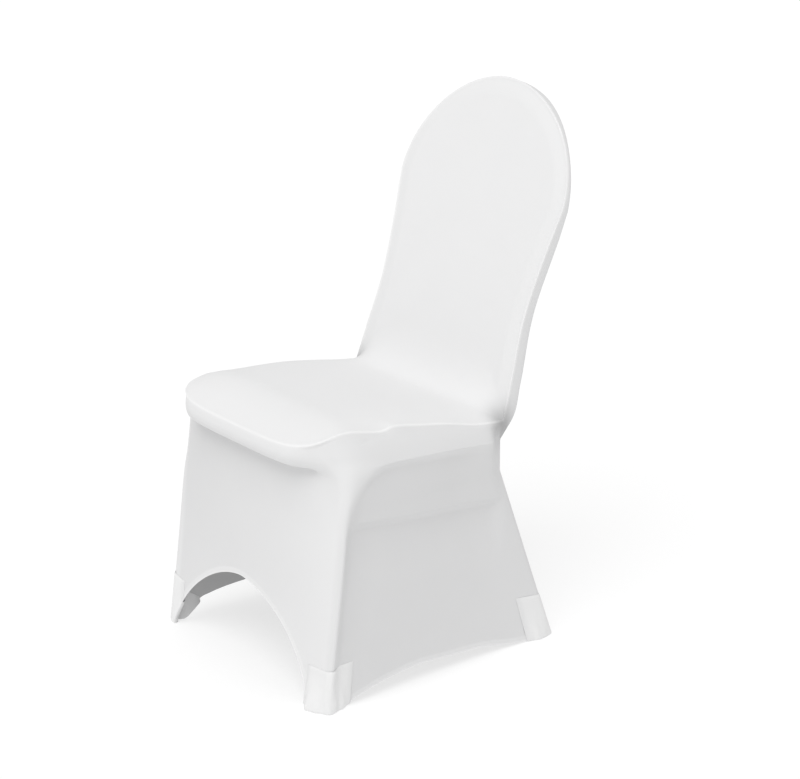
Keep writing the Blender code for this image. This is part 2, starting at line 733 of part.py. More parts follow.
def add_sheet(name, grid, normals, thickness, flip, split, colour):
    mesh = sheet_mesh(name, grid, normals, thickness, flip, split)
    mesh.materials.append(cloth_material(name, colour))
    sheet = bpy.data.objects.new(name, mesh)
    sheet.location.y = -MIDDLE_Y
    bpy.context.scene.collection.objects.link(sheet)


def build_panels():
    """The panels share their seams' points, so that the cloth meets edge to edge. The first
    column, the last column and the last row of each are seams, and its first row is a hem."""
    panels = {
        "centre_panel": (centre_panel(), False, HALF_COLUMNS),
        "rear_panel": (rear_panel(), True, HALF_COLUMNS),
        "side_panel_right": (side_panel(HEM_RIGHT), False, 0),
        "side_panel_left": (side_panel(HEM_LEFT) * [-1, 1, 1], True, 0),
    }
    normals = shared_normals(*zip(*panels.values()))
    for (name, (grid, flip, split)), normal in zip(panels.items(), normals):
        add_sheet(name, draw_back(grid, normal), normal, CLOTH, flip, split, CLOTH_COLOUR)


def build_pockets():
    for name, (side, end, *sizes) in POCKETS.items():
        grid = pocket(end, *sizes) * [side, 1, 1]
        flip = side * end < 0
        (normals,) = shared_normals([grid], [flip], [0])
        add_sheet(name, grid, normals, POCKET_CLOTH, flip, 0, POCKET_COLOUR)


def main():
    for thing in list(bpy.data.objects):
        bpy.data.objects.remove(thing, do_unlink=True)
    build_panels()
    build_pockets()


main()
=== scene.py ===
import math

import bpy
import numpy as np
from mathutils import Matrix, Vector


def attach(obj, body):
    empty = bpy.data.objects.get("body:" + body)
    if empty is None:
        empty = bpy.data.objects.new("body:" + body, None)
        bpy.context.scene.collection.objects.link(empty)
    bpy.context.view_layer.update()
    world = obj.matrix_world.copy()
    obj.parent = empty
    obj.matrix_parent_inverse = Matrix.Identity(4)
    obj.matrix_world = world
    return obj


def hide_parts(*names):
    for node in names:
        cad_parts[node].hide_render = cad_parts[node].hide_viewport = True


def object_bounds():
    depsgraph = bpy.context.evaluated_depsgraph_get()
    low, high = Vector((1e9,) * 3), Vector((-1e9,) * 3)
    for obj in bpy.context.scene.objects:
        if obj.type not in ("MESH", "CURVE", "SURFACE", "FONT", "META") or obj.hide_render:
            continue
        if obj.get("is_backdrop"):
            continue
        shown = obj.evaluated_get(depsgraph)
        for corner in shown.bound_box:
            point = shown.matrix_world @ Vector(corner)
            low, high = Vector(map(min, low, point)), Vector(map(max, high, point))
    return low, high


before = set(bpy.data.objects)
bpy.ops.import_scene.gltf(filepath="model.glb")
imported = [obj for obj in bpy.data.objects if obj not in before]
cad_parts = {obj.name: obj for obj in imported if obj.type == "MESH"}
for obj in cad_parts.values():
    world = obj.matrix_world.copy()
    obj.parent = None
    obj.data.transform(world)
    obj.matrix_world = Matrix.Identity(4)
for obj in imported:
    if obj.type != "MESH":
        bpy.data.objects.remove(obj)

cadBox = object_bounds()
print("frame loaded")

# sizes that all pieces share, in metres, and counts
cover = {
    "knit": 0.001,   # thickness of the cloth
    "middleY": 0.0493,   # middle of the depth, taken off every y at the end
    "cornerRadius": 0.0115,   # rounding of the leg corners
    "hemLow": 0.0027,   # hem's height on the feet
    "hemBlendZ": 0.26,   # above this height the rows are level
    "halfColumns": 60,   # from the middle to a side seam
    "sideColumns": 96,   # from the front seam to the rear seam
    "crowding": 1.3, "sideCrowding": 0.72,   # how much closer the columns lie by the seams
    "skirtRows": 84, "shoulderRows": 30, "backRows": 70, "archRows": 44,
}

# rows of the skirt from hem to rail: height at the front corner, height at the rear corner
skirtLevels = np.array([
    (0.0, 0.0), (0.03, 0.03), (0.078, 0.078), (0.135, 0.128), (0.195, 0.178), (0.25, 0.226),
    (0.288, 0.256), (0.302, 0.268), (0.316, 0.28), (0.348, 0.318), (0.378, 0.35), (0.4, 0.3781),
])


def lerp(start, end, share):
    return start + (end - start) * share


def smooth(value):
    # soft rise from 0 to 1 as the value goes from 0 to 1: 3 v^2 - 2 v^3
    value = np.clip(value, 0.0, 1.0)
    return value * value * (3.0 - 2.0 * value)


def ramp(value, start, run):
    # soft rise from 0 at the start to 1 after the run; with a negative run it rises downwards
    return smooth((value - start) / run)


def bell(value, middle, reach):
    return np.exp(-(((value - middle) / reach) ** 2))


def through(table, at):
    # smooth curve through the table's rows (place, value), read at the given places: a cubic
    # between each two rows, with slopes from the rows beside them
    places, values = np.array(table).T
    slopes = np.gradient(values, places)
    at = np.clip(at, places[0], places[-1])
    k = np.clip(np.searchsorted(places, at) - 1, 0, len(places) - 2)
    width = places[k + 1] - places[k]
    t = (at - places[k]) / width
    return (
        (2 * t**3 - 3 * t**2 + 1) * values[k]
        + (t**3 - 2 * t**2 + t) * width * slopes[k]
        + (3 * t**2 - 2 * t**3) * values[k + 1]
        + (t**3 - t**2) * width * slopes[k + 1]
    )


def between(line, at):
    # points of a line at fractional places
    at = np.clip(at, 0.0, len(line) - 1.0)
    start = np.minimum(at.astype(int), len(line) - 2)
    return lerp(line[start], line[start + 1], (at - start)[..., None])


def points(x, y, z):
    return np.stack(np.broadcast_arrays(x, y, z), axis=-1).astype(float)


def unit(vectors):
    return vectors / np.maximum(np.linalg.norm(vectors, axis=-1, keepdims=True), 1e-12)


def walked(grid, axis):
    # distance walked along the grid's rows or columns from their first point
    steps = np.linalg.norm(np.diff(grid, axis=axis), axis=-1)
    start = np.zeros_like(np.take(steps, [0], axis=axis))
    return np.concatenate([start, np.cumsum(steps, axis=axis)], axis=axis)


def roundOver(distance):
    # how far a face stands out of its corner seam: a quarter circle, half of it for each face
    radius = cover["cornerRadius"]
    reach = radius * np.sqrt(0.5)
    d = np.clip(distance, 0.0, reach)
    return np.sqrt(radius**2 - (reach - d) ** 2) - reach


# columns and rows of the grids
halfShares = np.arange(cover["halfColumns"] + 1) / cover["halfColumns"]
halfSpread = 1.0 - halfShares ** cover["crowding"]
across = np.concatenate([-halfSpread, halfSpread[-2::-1]])   # -1 left seam, 1 right seam
evenly = np.arange(cover["sideColumns"] + 1) / cover["sideColumns"]
# 0 front corner, 1 rear corner
alongSide = evenly - cover["sideCrowding"] * np.sin(2 * np.pi * evenly) / (2 * np.pi)
rowPlace = np.linspace(0, len(skirtLevels) - 1, cover["skirtRows"] + 1)
frontLevels = np.interp(rowPlace, np.arange(len(skirtLevels)), skirtLevels[:, 0])
rearLevels = np.interp(rowPlace, np.arange(len(skirtLevels)), skirtLevels[:, 1])
shoulderShares = np.arange(1, cover["shoulderRows"] + 1) / cover["shoulderRows"]
railRow = cover["skirtRows"]
seatRow = railRow + cover["shoulderRows"]
backRow = seatRow + cover["sideColumns"]
mirror = np.array([-1.0, 1.0, 1.0])
bothSides = np.array([mirror, mirror * mirror])   # turns a right seam's point into its two places

# legs of the skirt: x and y of each corner, and heights
legs = {
    "frontFoot": (0.232, -0.2375), "railCorner": (0.23, -0.1845), "railZ": 0.4,
    "rearFoot": (0.2265, 0.25), "knee": (0.1985, 0.15), "kneeZ": 0.3183,
    "waistY": 0.1432, "waistZ": 0.3781,
}


def frontLeg(z):
    # straight from the foot to the rail
    share = z / legs["railZ"]
    return (lerp(legs["frontFoot"][0], legs["railCorner"][0], share),
            lerp(legs["frontFoot"][1], legs["railCorner"][1], share))


def rearLeg(z):
    # straight from the foot to the knee, and from the knee to the waist
    lower = z / legs["kneeZ"]
    upper = (z - legs["kneeZ"]) / (legs["waistZ"] - legs["kneeZ"])
    waist = (back["halfWidth"][0][1], legs["waistY"])
    return tuple(
        np.where(z < legs["kneeZ"], lerp(foot, knee, lower), lerp(knee, top, upper))
        for foot, knee, top in zip(legs["rearFoot"], legs["knee"], waist)
    )


def aboveHem(level, hemZ):
    # height of a row: the hem's height plus the level, drawn together so that rows get level
    blendZ = cover["hemBlendZ"]
    return np.where(level < blendZ, hemZ + level * (1 - hemZ / blendZ), level)


back = {
    "recline": math.radians(18.77), "sag": 0.0037, "shoulderZ": 0.75, "topZ": 0.932,
    "archPower": 1.9, "archSplit": math.radians(42), "archCrowding": 1.2,
    "forward": 0.004, "forwardReach": 0.03,   # fullness of the front, away from the rim
    "depth": 0.032, "domeStart": 0.004, "domeReach": 0.1,   # the same of the rear
    # half the width below the shoulders: height, half width
    "halfWidth": [(0.378, 0.2057), (0.471, 0.1979), (0.564, 0.1899), (0.657, 0.1973),
                  (0.75, 0.2117)],
    # depth of the strip that wraps the rim: height, depth
    "rimDepth": [(0.378, 0.004), (0.412, 0.024), (0.47, 0.027), (0.6, 0.023), (0.7, 0.022),
                 (0.77, 0.0145), (0.85, 0.0135), (0.89, 0.02), (0.932, 0.031)],
    "ring": 6,   # columns that make the strip
    "stripIn": 0.006, "stripHollow": 0.0012, "stripPower": 1.3,   # how it turns round the rim
    "clear": 0.008, "clearStep": 0.002,   # least distance to the rim of the columns inside it
    "clearDown": 0.05,   # how far below the shoulders the place lies that they move towards
    "centreZ": 0.68,   # height that the strip's inner edge turns towards
    "evening": 500,   # rounds of averaging
}
reclineOut = np.array([0.0, math.cos(back["recline"]), -math.sin(back["recline"])])


def backY(z):
    # plane of the rim seam, with its slight sag
    rise = z - legs["waistZ"]
    sag = back["sag"] * np.sin(np.pi * rise / (back["topZ"] - legs["waistZ"]))
    return legs["waistY"] + rise * math.tan(back["recline"]) - sag


def archPoint(angle):
    # superellipse quarter from the shoulder (0) to the top (90 degrees)
    power = 2 / back["archPower"]
    return (back["halfWidth"][-1][1] * np.cos(angle) ** power,
            back["shoulderZ"] + (back["topZ"] - back["shoulderZ"]) * np.sin(angle) ** power)


def rimDistance(x, z):
    # distance to the rim in the back's own plane: straight across below the shoulders, above
    # them along the line to the arch's middle
    reach, rise = back["halfWidth"][-1][1], back["topZ"] - back["shoulderZ"]
    up = np.maximum(z - back["shoulderZ"], 0.0)
    power = back["archPower"]
    rho = (np.abs(x / reach) ** power + (up / rise) ** power) ** (1 / power)
    rho = np.maximum(rho, 1e-6)
    arch = (1 - rho) / rho * np.hypot(x, up)
    return np.maximum(
        np.where(z > back["shoulderZ"], arch, through(back["halfWidth"], z) - np.abs(x)), 0.0)


def clearOfRim(x, z, count):
    # places inside the strip keep a distance to the rim that grows with their count from it
    least = back["clear"] + back["clearStep"] * (count - back["ring"])
    least = np.where(count >= back["ring"], least, 0.0)
    short = np.maximum(least - rimDistance(x, z), 0.0)
    up = z - back["shoulderZ"] + back["clearDown"]
    length = np.hypot(x, up)
    return x - short * x / length, z - short * up / length


def onBack(x, z, rearward):
    # places in the plane of the rim, moved square to it
    return points(x, backY(z), z) + np.asarray(rearward)[..., None] * reclineOut


seat = {
    "frontY": -0.2468, "cornerY": -0.1675, "rearZ": 0.407, "frontHalf": 0.1921,
    "cornerPower": 4.1, "start": 0.9965, "crown": 0.019, "crownRun": 0.15,
    # squareness of the crown across, and what it gains on the left half towards the rear
    "squareness": 6, "fullness": 7.0, "fullStart": -0.12, "fullRun": 0.2,
    "filletReach": (0.05, 0.105),   # of the fold to the back: along the seat, up the back
    # height of the seat's edge along y, without the small step of its seam
    "line": [(-0.247, 0.433), (-0.205, 0.448), (-0.175, 0.453), (-0.13, 0.449), (-0.076, 0.444),
             (-0.03, 0.438), (0.03, 0.427), (0.1, 0.414), (0.153, 0.407)],
    # seam round the seat: y, height, with the small step where the side cloth is pulled up
    "seam": [(-0.247, 0.433), (-0.225, 0.444), (-0.205, 0.4485), (-0.189, 0.4525), (-0.175, 0.454),
             (-0.144, 0.45), (-0.124, 0.4462), (-0.1, 0.4424), (-0.09, 0.443), (-0.079, 0.4462),
             (-0.065, 0.4452), (-0.03, 0.439), (0.03, 0.4285), (0.1, 0.4125), (0.153, 0.407)],
    "stepStart": -0.165, "stepRun": 0.03, "stepEdge": (0.9, 0.1), "stepFade": 0.1,
    "bulge": np.array([0.004, -0.004, 0.001]),
    "sideSwell": np.array([0.004, 0.0, 0.003]),
    "pull": (0.72, 0.28),   # share of the side's top rows that the step pulls along
    # boxing under the front edge: share across, outward, share of the rise
    "boxing": [(0.0, 0.0, 0.0), (0.55, 0.0, -0.07), (0.97, 0.0005, 0.05), (1.0, 0.0065, 0.3),
               (1.0, 0.008, 0.6), (1.0, 0.0045, 0.86), (1.0, 0.0, 1.0)],
    "boxingEnds": 12,   # power with which the boxing gives way to the seams
}


def seamStep(y):
    # small step of the seam, seen on the right side
    step = through(seat["seam"], y) - through(seat["line"], y)
    return step * ramp(y, seat["stepStart"], seat["stepRun"])


def seatFront(xi):
    # superellipse from one front corner round the front edge to the other
    share = np.abs(xi) * seat["start"]
    power = seat["cornerPower"]
    y = seat["cornerY"] - (seat["cornerY"] - seat["frontY"]) * (1 - share**power) ** (1 / power)
    return points(seat["frontHalf"] * seat["start"] * xi, y, through(seat["line"], y))


def seatSide(side=1):
    # seam along the seat's side: its width grows with a sine quarter, its height follows a table
    start = seatFront(np.array([1.0]))[0]
    y = lerp(start[1], backY(seat["rearZ"]), alongSide)
    wide = through(back["halfWidth"], seat["rearZ"])
    x = start[0] + (wide - start[0]) * np.sin(alongSide * np.pi / 2)
    z = through(seat["line"], y) + (seamStep(y) if side > 0 else 0.0)
    z[-1] = seat["rearZ"]
    return points(x, y, z)


# seams that two panels share
def frontSeam():
    # up the front leg, then straight to the seat's corner with a sine bulge
    z = aboveHem(frontLevels, cover["hemLow"])
    leg = points(*frontLeg(z), z)
    start = seatSide()[0]
    share = shoulderShares[:, None]
    upper = lerp(leg[-1], start, share) + np.sin(np.pi * share) * seat["bulge"]
    upper[-1] = start
    return np.concatenate([leg, upper])


def rearSeam():
    # up the rear leg to the waist, then along the back's rim to the seat's seam
    z = aboveHem(rearLevels, cover["hemLow"])
    leg = points(*rearLeg(z), z)
    rise = lerp(legs["waistZ"], seat["rearZ"], shoulderShares)
    rim = onBack(through(back["halfWidth"], rise), rise, np.zeros(len(rise)))
    rim[-1] = seatSide()[-1]
    return np.concatenate([leg, rim])


def backSideSeam():
    # up the rim's side, and round the arch as far as its split
    straight = np.linspace(seat["rearZ"], back["shoulderZ"], cover["backRows"])
    t = np.linspace(0.0, 1.0, cover["archRows"] + 1)[1:]
    x, z = archPoint(back["archSplit"] * (1 - (1 - t) ** back["archCrowding"]))
    z = np.concatenate([straight, z])
    x = np.concatenate([through(back["halfWidth"], straight), x])
    seam = onBack(x, z, np.zeros(len(z)))
    seam[0] = seatSide()[-1]
    return seam


def backTopSeam():
    # over the arch, from the split on the left to the one on the right
    share = np.linspace(-1.0, 1.0, len(across))
    x, z = archPoint(np.pi / 2 - np.abs(share) * (np.pi / 2 - back["archSplit"]))
    return onBack(np.sign(share) * x, z, np.zeros(len(z)))


def neighboursMiddle(grid):
    # for each inner point the middle of its four neighbours
    return (grid[1:-1, :-2] + grid[1:-1, 2:] + grid[:-2, 1:-1] + grid[2:, 1:-1]) / 4


def backPlaces():
    # Coons patch between the two sides, the seat's row and the top, in the plane of the rim
    side, top = backSideSeam(), backTopSeam()
    bottom = points(across * side[0, 0], side[0, 1], side[0, 2])
    u = ((across + 1) / 2)[None, :, None]
    steps = np.linalg.norm(np.diff(side, axis=0), axis=1)
    v = (np.concatenate([[0.0], np.cumsum(steps)]) / steps.sum())[:, None, None]
    left, right = (side * mirror)[:, None], side[:, None]
    edges = lerp(bottom[None], top[None], v) + lerp(left, right, u)
    places = edges - lerp(lerp(bottom[0], bottom[-1], u), lerp(top[0], top[-1], u), v)
    # evened out: again and again each point moves to the middle of its neighbours
    for _ in range(back["evening"]):
        places[1:-1, 1:-1] = neighboursMiddle(places)
    return places


skirt = {
    "frontSwell": 0.033, "swellStart": 0.1, "rearBridge": 0.024,
    "waistSettle": 0.8, "waistHeight": 0.05, "waistReach": (0.075, 0.07),
    # small fold under the seat's seam, and dent where the side meets the back's edge
    "tuck": 0.0016, "tuckY": -0.137, "tuckZ": 0.4375, "tuckReach": (0.016, 0.0028),
    "dent": 0.007, "dentY": 0.13, "dentZ": 0.38, "dentReach": (0.017, 0.034),
    "dentEnd": 0.03, "dentRows": 14,
    "railOut": 0.013, "railStart": 0.22, "railRise": 0.14, "railFront": 0.6, "railRear": 0.1,
    "rowArch": 0.008, "rowArchStart": 0.3, "rowArchRise": 0.1,
    # step inwards behind the front leg and under the rail, with a groove along the leg
    "recess": 0.0075, "recessStart": 0.001, "recessWidth": 0.0165, "recessRadius": 0.074,
    "recessLean": 0.8, "recessSoftness": 0.4, "recessEnd": 0.004, "recessFade": 0.11,
    "groove": 0.0035, "grooveRise": 0.013, "grooveFall": 0.06,
    "grooveTop": 0.36, "grooveFade": 0.05,
    # long crease across the side
    "crease": 0.0078, "creaseWidth": 0.018, "creaseRelease": 0.11,
    "creaseY": -0.173, "creaseZ": 0.312, "creaseSlope": -0.108,
    "creaseFront": 0.03, "creaseEnd": 0.156, "creaseRear": 0.035,
    # line under the rail that the recess follows: y, height
    "railLine": [(-0.185, 0.405), (-0.097, 0.405), (-0.006, 0.398), (0.054, 0.392),
                 (0.1, 0.383), (0.15, 0.37)],
    # hems of the two sides: y, height
    "hemRight": [(-0.24, 0.0027), (-0.206, 0.0027), (-0.17, 0.012), (-0.14, 0.02),
                 (-0.097, 0.026), (-0.052, 0.0295), (0.022, 0.024), (0.1, 0.018),
                 (0.159, 0.006), (0.19, 0.0027), (0.26, 0.0027)],
    "hemLeft": [(-0.24, 0.0027), (-0.218, 0.0027), (-0.199, 0.0155), (-0.183, 0.028),
                (-0.16, 0.0325), (-0.135, 0.0355), (-0.087, 0.038), (0.0, 0.035),
                (0.09, 0.024), (0.159, 0.008), (0.19, 0.0027), (0.26, 0.0027)],
    # arches of the hem: x of the highest point, its height, x of the two ends, power
    "frontArch": (-0.028, 0.1505, -0.212, 0.175, 1.66),
    "rearArch": (0.0, 0.136, -0.168, 0.168, 1.66),
}


def hemColumns(arch, footX):
    # level on the feet, a superellipse between them; places as shares of the half width
    apex, height, left, right, power = arch
    low = cover["hemLow"]
    first = int(np.searchsorted(across, left / footX))
    last = int(np.searchsorted(across, right / footX))
    x, z = across * footX, np.full(len(across), low)
    angle = np.linspace(np.pi, 0.0, last - first + 1)
    reach = np.where(angle > np.pi / 2, apex - left, right - apex)
    x[first:last + 1] = apex + reach * np.sign(np.cos(angle)) * np.abs(np.cos(angle)) ** (2 / power)
    z[first:last + 1] = low + (height - low) * np.abs(np.sin(angle)) ** (2 / power)
    return x / footX, z


def skirtPlace(level, seamX, hemXi, hemZ):
    # x goes from the hem's columns to evenly shared ones as the rows get level
    x = seamX * lerp(hemXi, across, smooth(level / cover["hemBlendZ"]))
    return x, aboveHem(level, hemZ)


def frontFace(x, z):
    # flat between the legs, swelling out under the boxing
    seamX, seamY = frontLeg(z)
    start = skirt["swellStart"]
    swell = skirt["frontSwell"] * ramp(z, start, legs["railZ"] - start)
    inside = np.abs(x / seamX)
    return points(x, seamY - roundOver(seamX - np.abs(x)) - swell * (1 - inside**3), z)


def rearFace(x, z):
    # flat at the floor, standing off between the legs as it rises
    seamX, seamY = rearLeg(z)
    bridge = skirt["rearBridge"] * smooth(z / legs["waistZ"])
    inside = np.abs(x / seamX)
    return points(x, seamY + roundOver(seamX - np.abs(x)) + bridge * (1 - inside**2), z)


def recess(y, z):
    # step inwards behind the front leg and under the rail, with a round corner between them
    frontY, rearY = frontLeg(z)[1], rearLeg(z)[1]
    radius = skirt["recessRadius"]
    behind, below = skirt["recessLean"] * (y - frontY), through(skirt["railLine"], y) - z
    corner = radius - np.hypot(np.maximum(radius - behind, 0.0), np.maximum(radius - below, 0.0))
    inside = np.where((behind < radius) & (below < radius), corner, np.minimum(behind, below))
    down = np.clip((inside - skirt["recessStart"]) / skirt["recessWidth"], 0, 1)
    groove = (smooth(behind / skirt["grooveRise"])
              * (1 - ramp(behind, skirt["grooveRise"], skirt["grooveFall"]))
              * ramp(z, skirt["grooveTop"], -skirt["grooveFade"]))
    step = skirt["recess"] * lerp(down, smooth(down), skirt["recessSoftness"])
    fade = smooth((rearY - skirt["recessEnd"] - y) / skirt["recessFade"])
    return (step + skirt["groove"] * groove) * fade


def sideFace(y, z):
    # straight from leg to leg, out at the rail, in at the recess and under the crease
    (frontX, frontY), (rearX, rearY) = frontLeg(z), rearLeg(z)
    share = (y - frontY) / (rearY - frontY)
    ends = roundOver(y - frontY) + roundOver(rearY - y) - roundOver(np.array(1.0))
    rail = (skirt["railOut"] * ramp(z, skirt["railStart"], skirt["railRise"])
            * smooth((1 - share) / skirt["railRear"]) * smooth(share / skirt["railFront"]))
    below = skirt["creaseZ"] + skirt["creaseSlope"] * (y - skirt["creaseY"]) - z
    crease = (skirt["crease"] * smooth(below / skirt["creaseWidth"])
              * (1 - ramp(below, skirt["creaseWidth"], skirt["creaseRelease"]))
              * ramp(y, skirt["creaseEnd"], -skirt["creaseRear"])
              * smooth((y - frontY) / skirt["creaseFront"]))
    return points(lerp(frontX, rearX, share) + ends + rail - recess(y, z) - crease, y, z)


# the four panels as grids
def boxingRows(lower, upper):
    # from the skirt's top row to the seat's front row, each row set out along the normal of the
    # seat's superellipse by the boxing's profile
    straight = np.abs(across)[:, None] ** seat["boxingEnds"]
    share = np.abs(across * seat["start"])
    power = seat["cornerPower"]
    deep = seat["cornerY"] - seat["frontY"]
    normal = unit(points(np.sign(across) * share ** (power - 1) / seat["frontHalf"],
                         -((1 - share**power) ** (1 - 1 / power)) / deep, 0.0))
    table = np.array(seat["boxing"])
    steps = np.linspace(0, 1, len(table))
    rows = []
    for part in shoulderShares[:-1]:
        over, out, rise = (through(np.stack([steps, column], 1), np.array(part))
                           for column in table.T)
        formed = lerp(lower, upper, over) + normal * out
        formed[:, 2] = lerp(lower[:, 2], upper[:, 2], rise)
        bulge = np.sin(np.pi * part) * points(np.sign(across), 1.0, 1.0) * seat["bulge"]
        rows.append(lerp(formed, lerp(lower, upper, part) + bulge, straight))
    return rows


def seatRows(seam):
    # rows from the curved front edge to the straight rear one, crowned across and from the front
    front = seatFront(across)
    startY = seam[0, 1]
    shape = (startY - front[:, 1]) / (startY - seat["frontY"])
    edge = ramp(np.abs(across), *seat["stepEdge"])
    rows = [front]
    for share, (endX, endY, _) in zip(alongSide[1:], seam[1:]):
        y = endY - (startY - seat["frontY"]) * (1 - share) ** 2 * shape
        run = np.clip((y - seat["frontY"]) / seat["crownRun"], 0, 1)
        gained = seat["fullness"] * ramp(y, seat["fullStart"], seat["fullRun"]) * (across < 0)
        full = seat["squareness"] + gained
        crown = seat["crown"] * (1 - np.abs(across) ** full) * (1 - (1 - run) ** 3)
        edgeLine = through(seat["line"], y) + seamStep(y) * edge * (across > 0)
        rows.append(points(across * endX, y, edgeLine + crown))
    rows[-1][[0, -1]] = seam[-1] * bothSides
    return rows


def rounded(grid, corner, reach):
    # a fold across a panel as a parabola: (1-s)^2 start + 2 s (1-s) corner + s^2 end, with start
    # and end the two reaches away from it; the reaches go to nothing at the seams
    walk = walked(grid, 0)
    walk = walk - walk[corner]
    narrow = 1 - across**6
    made = grid.copy()
    for column in range(1, grid.shape[1] - 1):
        d, line = walk[:, column], grid[:, column]
        ahead, up = reach[0] * narrow[column], reach[1] * narrow[column]
        start, end = (np.array([np.interp(at, d, axis) for axis in line.T]) for at in (-ahead, up))
        near = (d > -ahead) & (d < up)
        s = np.interp(d[near], [-ahead, 0.0, up], [0.0, 0.5, 1.0])[:, None]
        made[near, column] = (1 - s) ** 2 * start + 2 * s * (1 - s) * line[corner] + s**2 * end
    return made


def centrePanel():
    # front skirt, boxing, seat and inside of the back, one grid from the hem to the top
    seam = frontSeam()
    hemXi, hemZ = hemColumns(skirt["frontArch"], seam[0, 0])
    rows = []
    for level, seamPoint in zip(frontLevels, seam):
        rows.append(frontFace(*skirtPlace(level, seamPoint[0], hemXi, hemZ)))
    seatGrid = seatRows(seatSide())
    rows += boxingRows(rows[-1], seatGrid[0])
    grid = np.stack(rows + seatGrid)
    grid[:len(seam), 0], grid[:len(seam), -1] = seam * mirror, seam
    places = backPlaces()[1:]
    x, z = places[..., 0], places[..., 2]
    inside = smooth(rimDistance(x, z) / back["forwardReach"])
    grid = np.concatenate([grid, onBack(x, z, -back["forward"] * inside)])
    return rounded(grid, backRow, seat["filletReach"])


def rearPanel():
    # rear skirt, and outer back with the strip that wraps the rim
    seam = rearSeam()
    hemXi, hemZ = hemColumns(skirt["rearArch"], seam[0, 0])
    rows = []
    for level, seamPoint in zip(rearLevels, seam):
        row = rearFace(*skirtPlace(level, seamPoint[0], hemXi, hemZ))
        row[[0, -1]] = seamPoint * bothSides
        rows.append(row)
    waist = rows[-1]
    below = np.stack([points(across * p[0], p[1], p[2]) for p in seam[railRow + 1:-1]])
    places = np.concatenate([below, backPlaces()])
    # how many rows and columns each point is from the rim, and its share of the strip
    count, wide = places.shape[:2]
    left = np.arange(wide)[None, :] < wide / 2
    column = np.minimum(np.arange(wide), wide - 1 - np.arange(wide))[None, :]
    row = (count - 1 - np.arange(count))[:, None]
    ring = np.minimum(np.minimum(row, column) / back["ring"], 1.0)
    # the rim's point that each point of the strip belongs to, counted from the upper corners
    bend = np.minimum(row, column) * (1 - smooth(np.abs(row - column) / (3 * back["ring"])))
    fromCorner = np.maximum(row, column) - bend
    sideRim = between(places[:, -1], count - 1 - fromCorner)
    sideRim = np.where(left[..., None], sideRim * mirror, sideRim)
    topRim = between(places[-1], np.where(left, fromCorner, wide - 1 - fromCorner))
    rim = np.where((column <= row)[..., None], sideRim, topRim)
    # the way inwards from the rim, in its own plane
    inward = unit(np.array([0.0, backY(back["centreZ"]), back["centreZ"]]) - rim)
    inward[..., 2] = np.where(rim[..., 2] < back["shoulderZ"], 0.0, inward[..., 2])
    inward[..., 1] = inward[..., 2] * math.tan(back["recline"])
    inward = unit(inward)
    # the strip goes round the rim on a quarter round, and the face is a dome inside it
    x, z = clearOfRim(places[..., 0], places[..., 2], np.minimum(row, column))
    strip = through(back["rimDepth"], np.where(ring < 1, rim[..., 2], z))
    dome = (back["depth"] - strip) * ramp(rimDistance(x, z), back["domeStart"], back["domeReach"])
    turn = ring * np.pi / 2
    wallIn = back["stripIn"] * (1 - np.cos(turn)) - back["stripHollow"] * np.sin(2 * turn)
    wallOut = strip * np.sin(turn) ** back["stripPower"]
    wall = rim + inward * wallIn[..., None] + wallOut[..., None] * reclineOut
    grid = np.where((ring < 1)[..., None], wall, onBack(x, z, strip + dome))
    # just above the waist the face settles onto the line of the skirt
    settle = (1 - ramp(z, legs["waistZ"], skirt["waistHeight"])) * (1 - across**2)[None, :]
    flat = points(x, waist[:, 1] + (z - legs["waistZ"]) * math.tan(back["recline"]), z)
    grid = lerp(grid, flat, settle[..., None] * skirt["waistSettle"])
    grid[:, 0], grid[:, -1], grid[-1] = places[:, 0], places[:, -1], places[-1]
    return rounded(np.concatenate([np.stack(rows), grid]), railRow, skirt["waistReach"])


def sidePanel(hemLine, side):
    # side face up to the rail, then straight to the seat's seam with a sine swell
    front, rear, top = frontSeam(), rearSeam(), seatSide(side)
    rows = []
    for frontZ, rearZ, start, end in zip(frontLevels, rearLevels, front, rear):
        y = lerp(start[1], end[1], alongSide)
        arch = skirt["rowArch"] * np.sin(np.pi * alongSide)
        arch = arch * ramp(frontZ, skirt["rowArchStart"], skirt["rowArchRise"])
        row = sideFace(y, aboveHem(lerp(frontZ, rearZ, alongSide) + arch, through(hemLine, y)))
        row[[0, -1]] = start, end
        rows.append(row)
    rail = rows[-1]
    swell = (1 - alongSide**4)[:, None] * seat["sideSwell"]
    calm = top.copy()
    plain = through(seat["line"], top[:, 1])
    calm[:, 2] = lerp(top[:, 2], plain, smooth(alongSide / seat["stepFade"]))
    for share, start, end in zip(shoulderShares, front[railRow + 1:], rear[railRow + 1:]):
        pulled = (top - calm) * ramp(share, *seat["pull"])
        row = lerp(rail, calm, share) + pulled + np.sin(np.pi * share) * swell
        row[[0, -1]] = start, end
        rows.append(row)
    rows[-1] = top
    grid = np.stack(rows)
    y, z = grid[..., 1], grid[..., 2]
    (tuckAlong, tuckUp), (dentAlong, dentUp) = skirt["tuckReach"], skirt["dentReach"]
    tuck = bell(z, skirt["tuckZ"], tuckUp) * bell(y, skirt["tuckY"], tuckAlong)
    dent = bell(z, skirt["dentZ"], dentUp) * bell(y, skirt["dentY"], dentAlong)
    fromTop = (len(rows) - 1 - np.arange(len(rows)))[:, None]
    dent = dent * smooth((1 - alongSide) / skirt["dentEnd"]) * smooth(fromTop / skirt["dentRows"])
    grid[..., 0] -= skirt["tuck"] * tuck * (side > 0) + skirt["dent"] * dent
    return grid


# rounding of the corner between front and side, above the knees
softening = {
    "reach": 24,   # columns on each side of the seam
    "passes": 240,
    "foot": 0.03,   # strength at the hem
    "start": 0.45, "run": 0.45,   # where it sets in and its run, in shares of the skirt's rows
    "topRows": 4, "sideFade": 0.7,
}


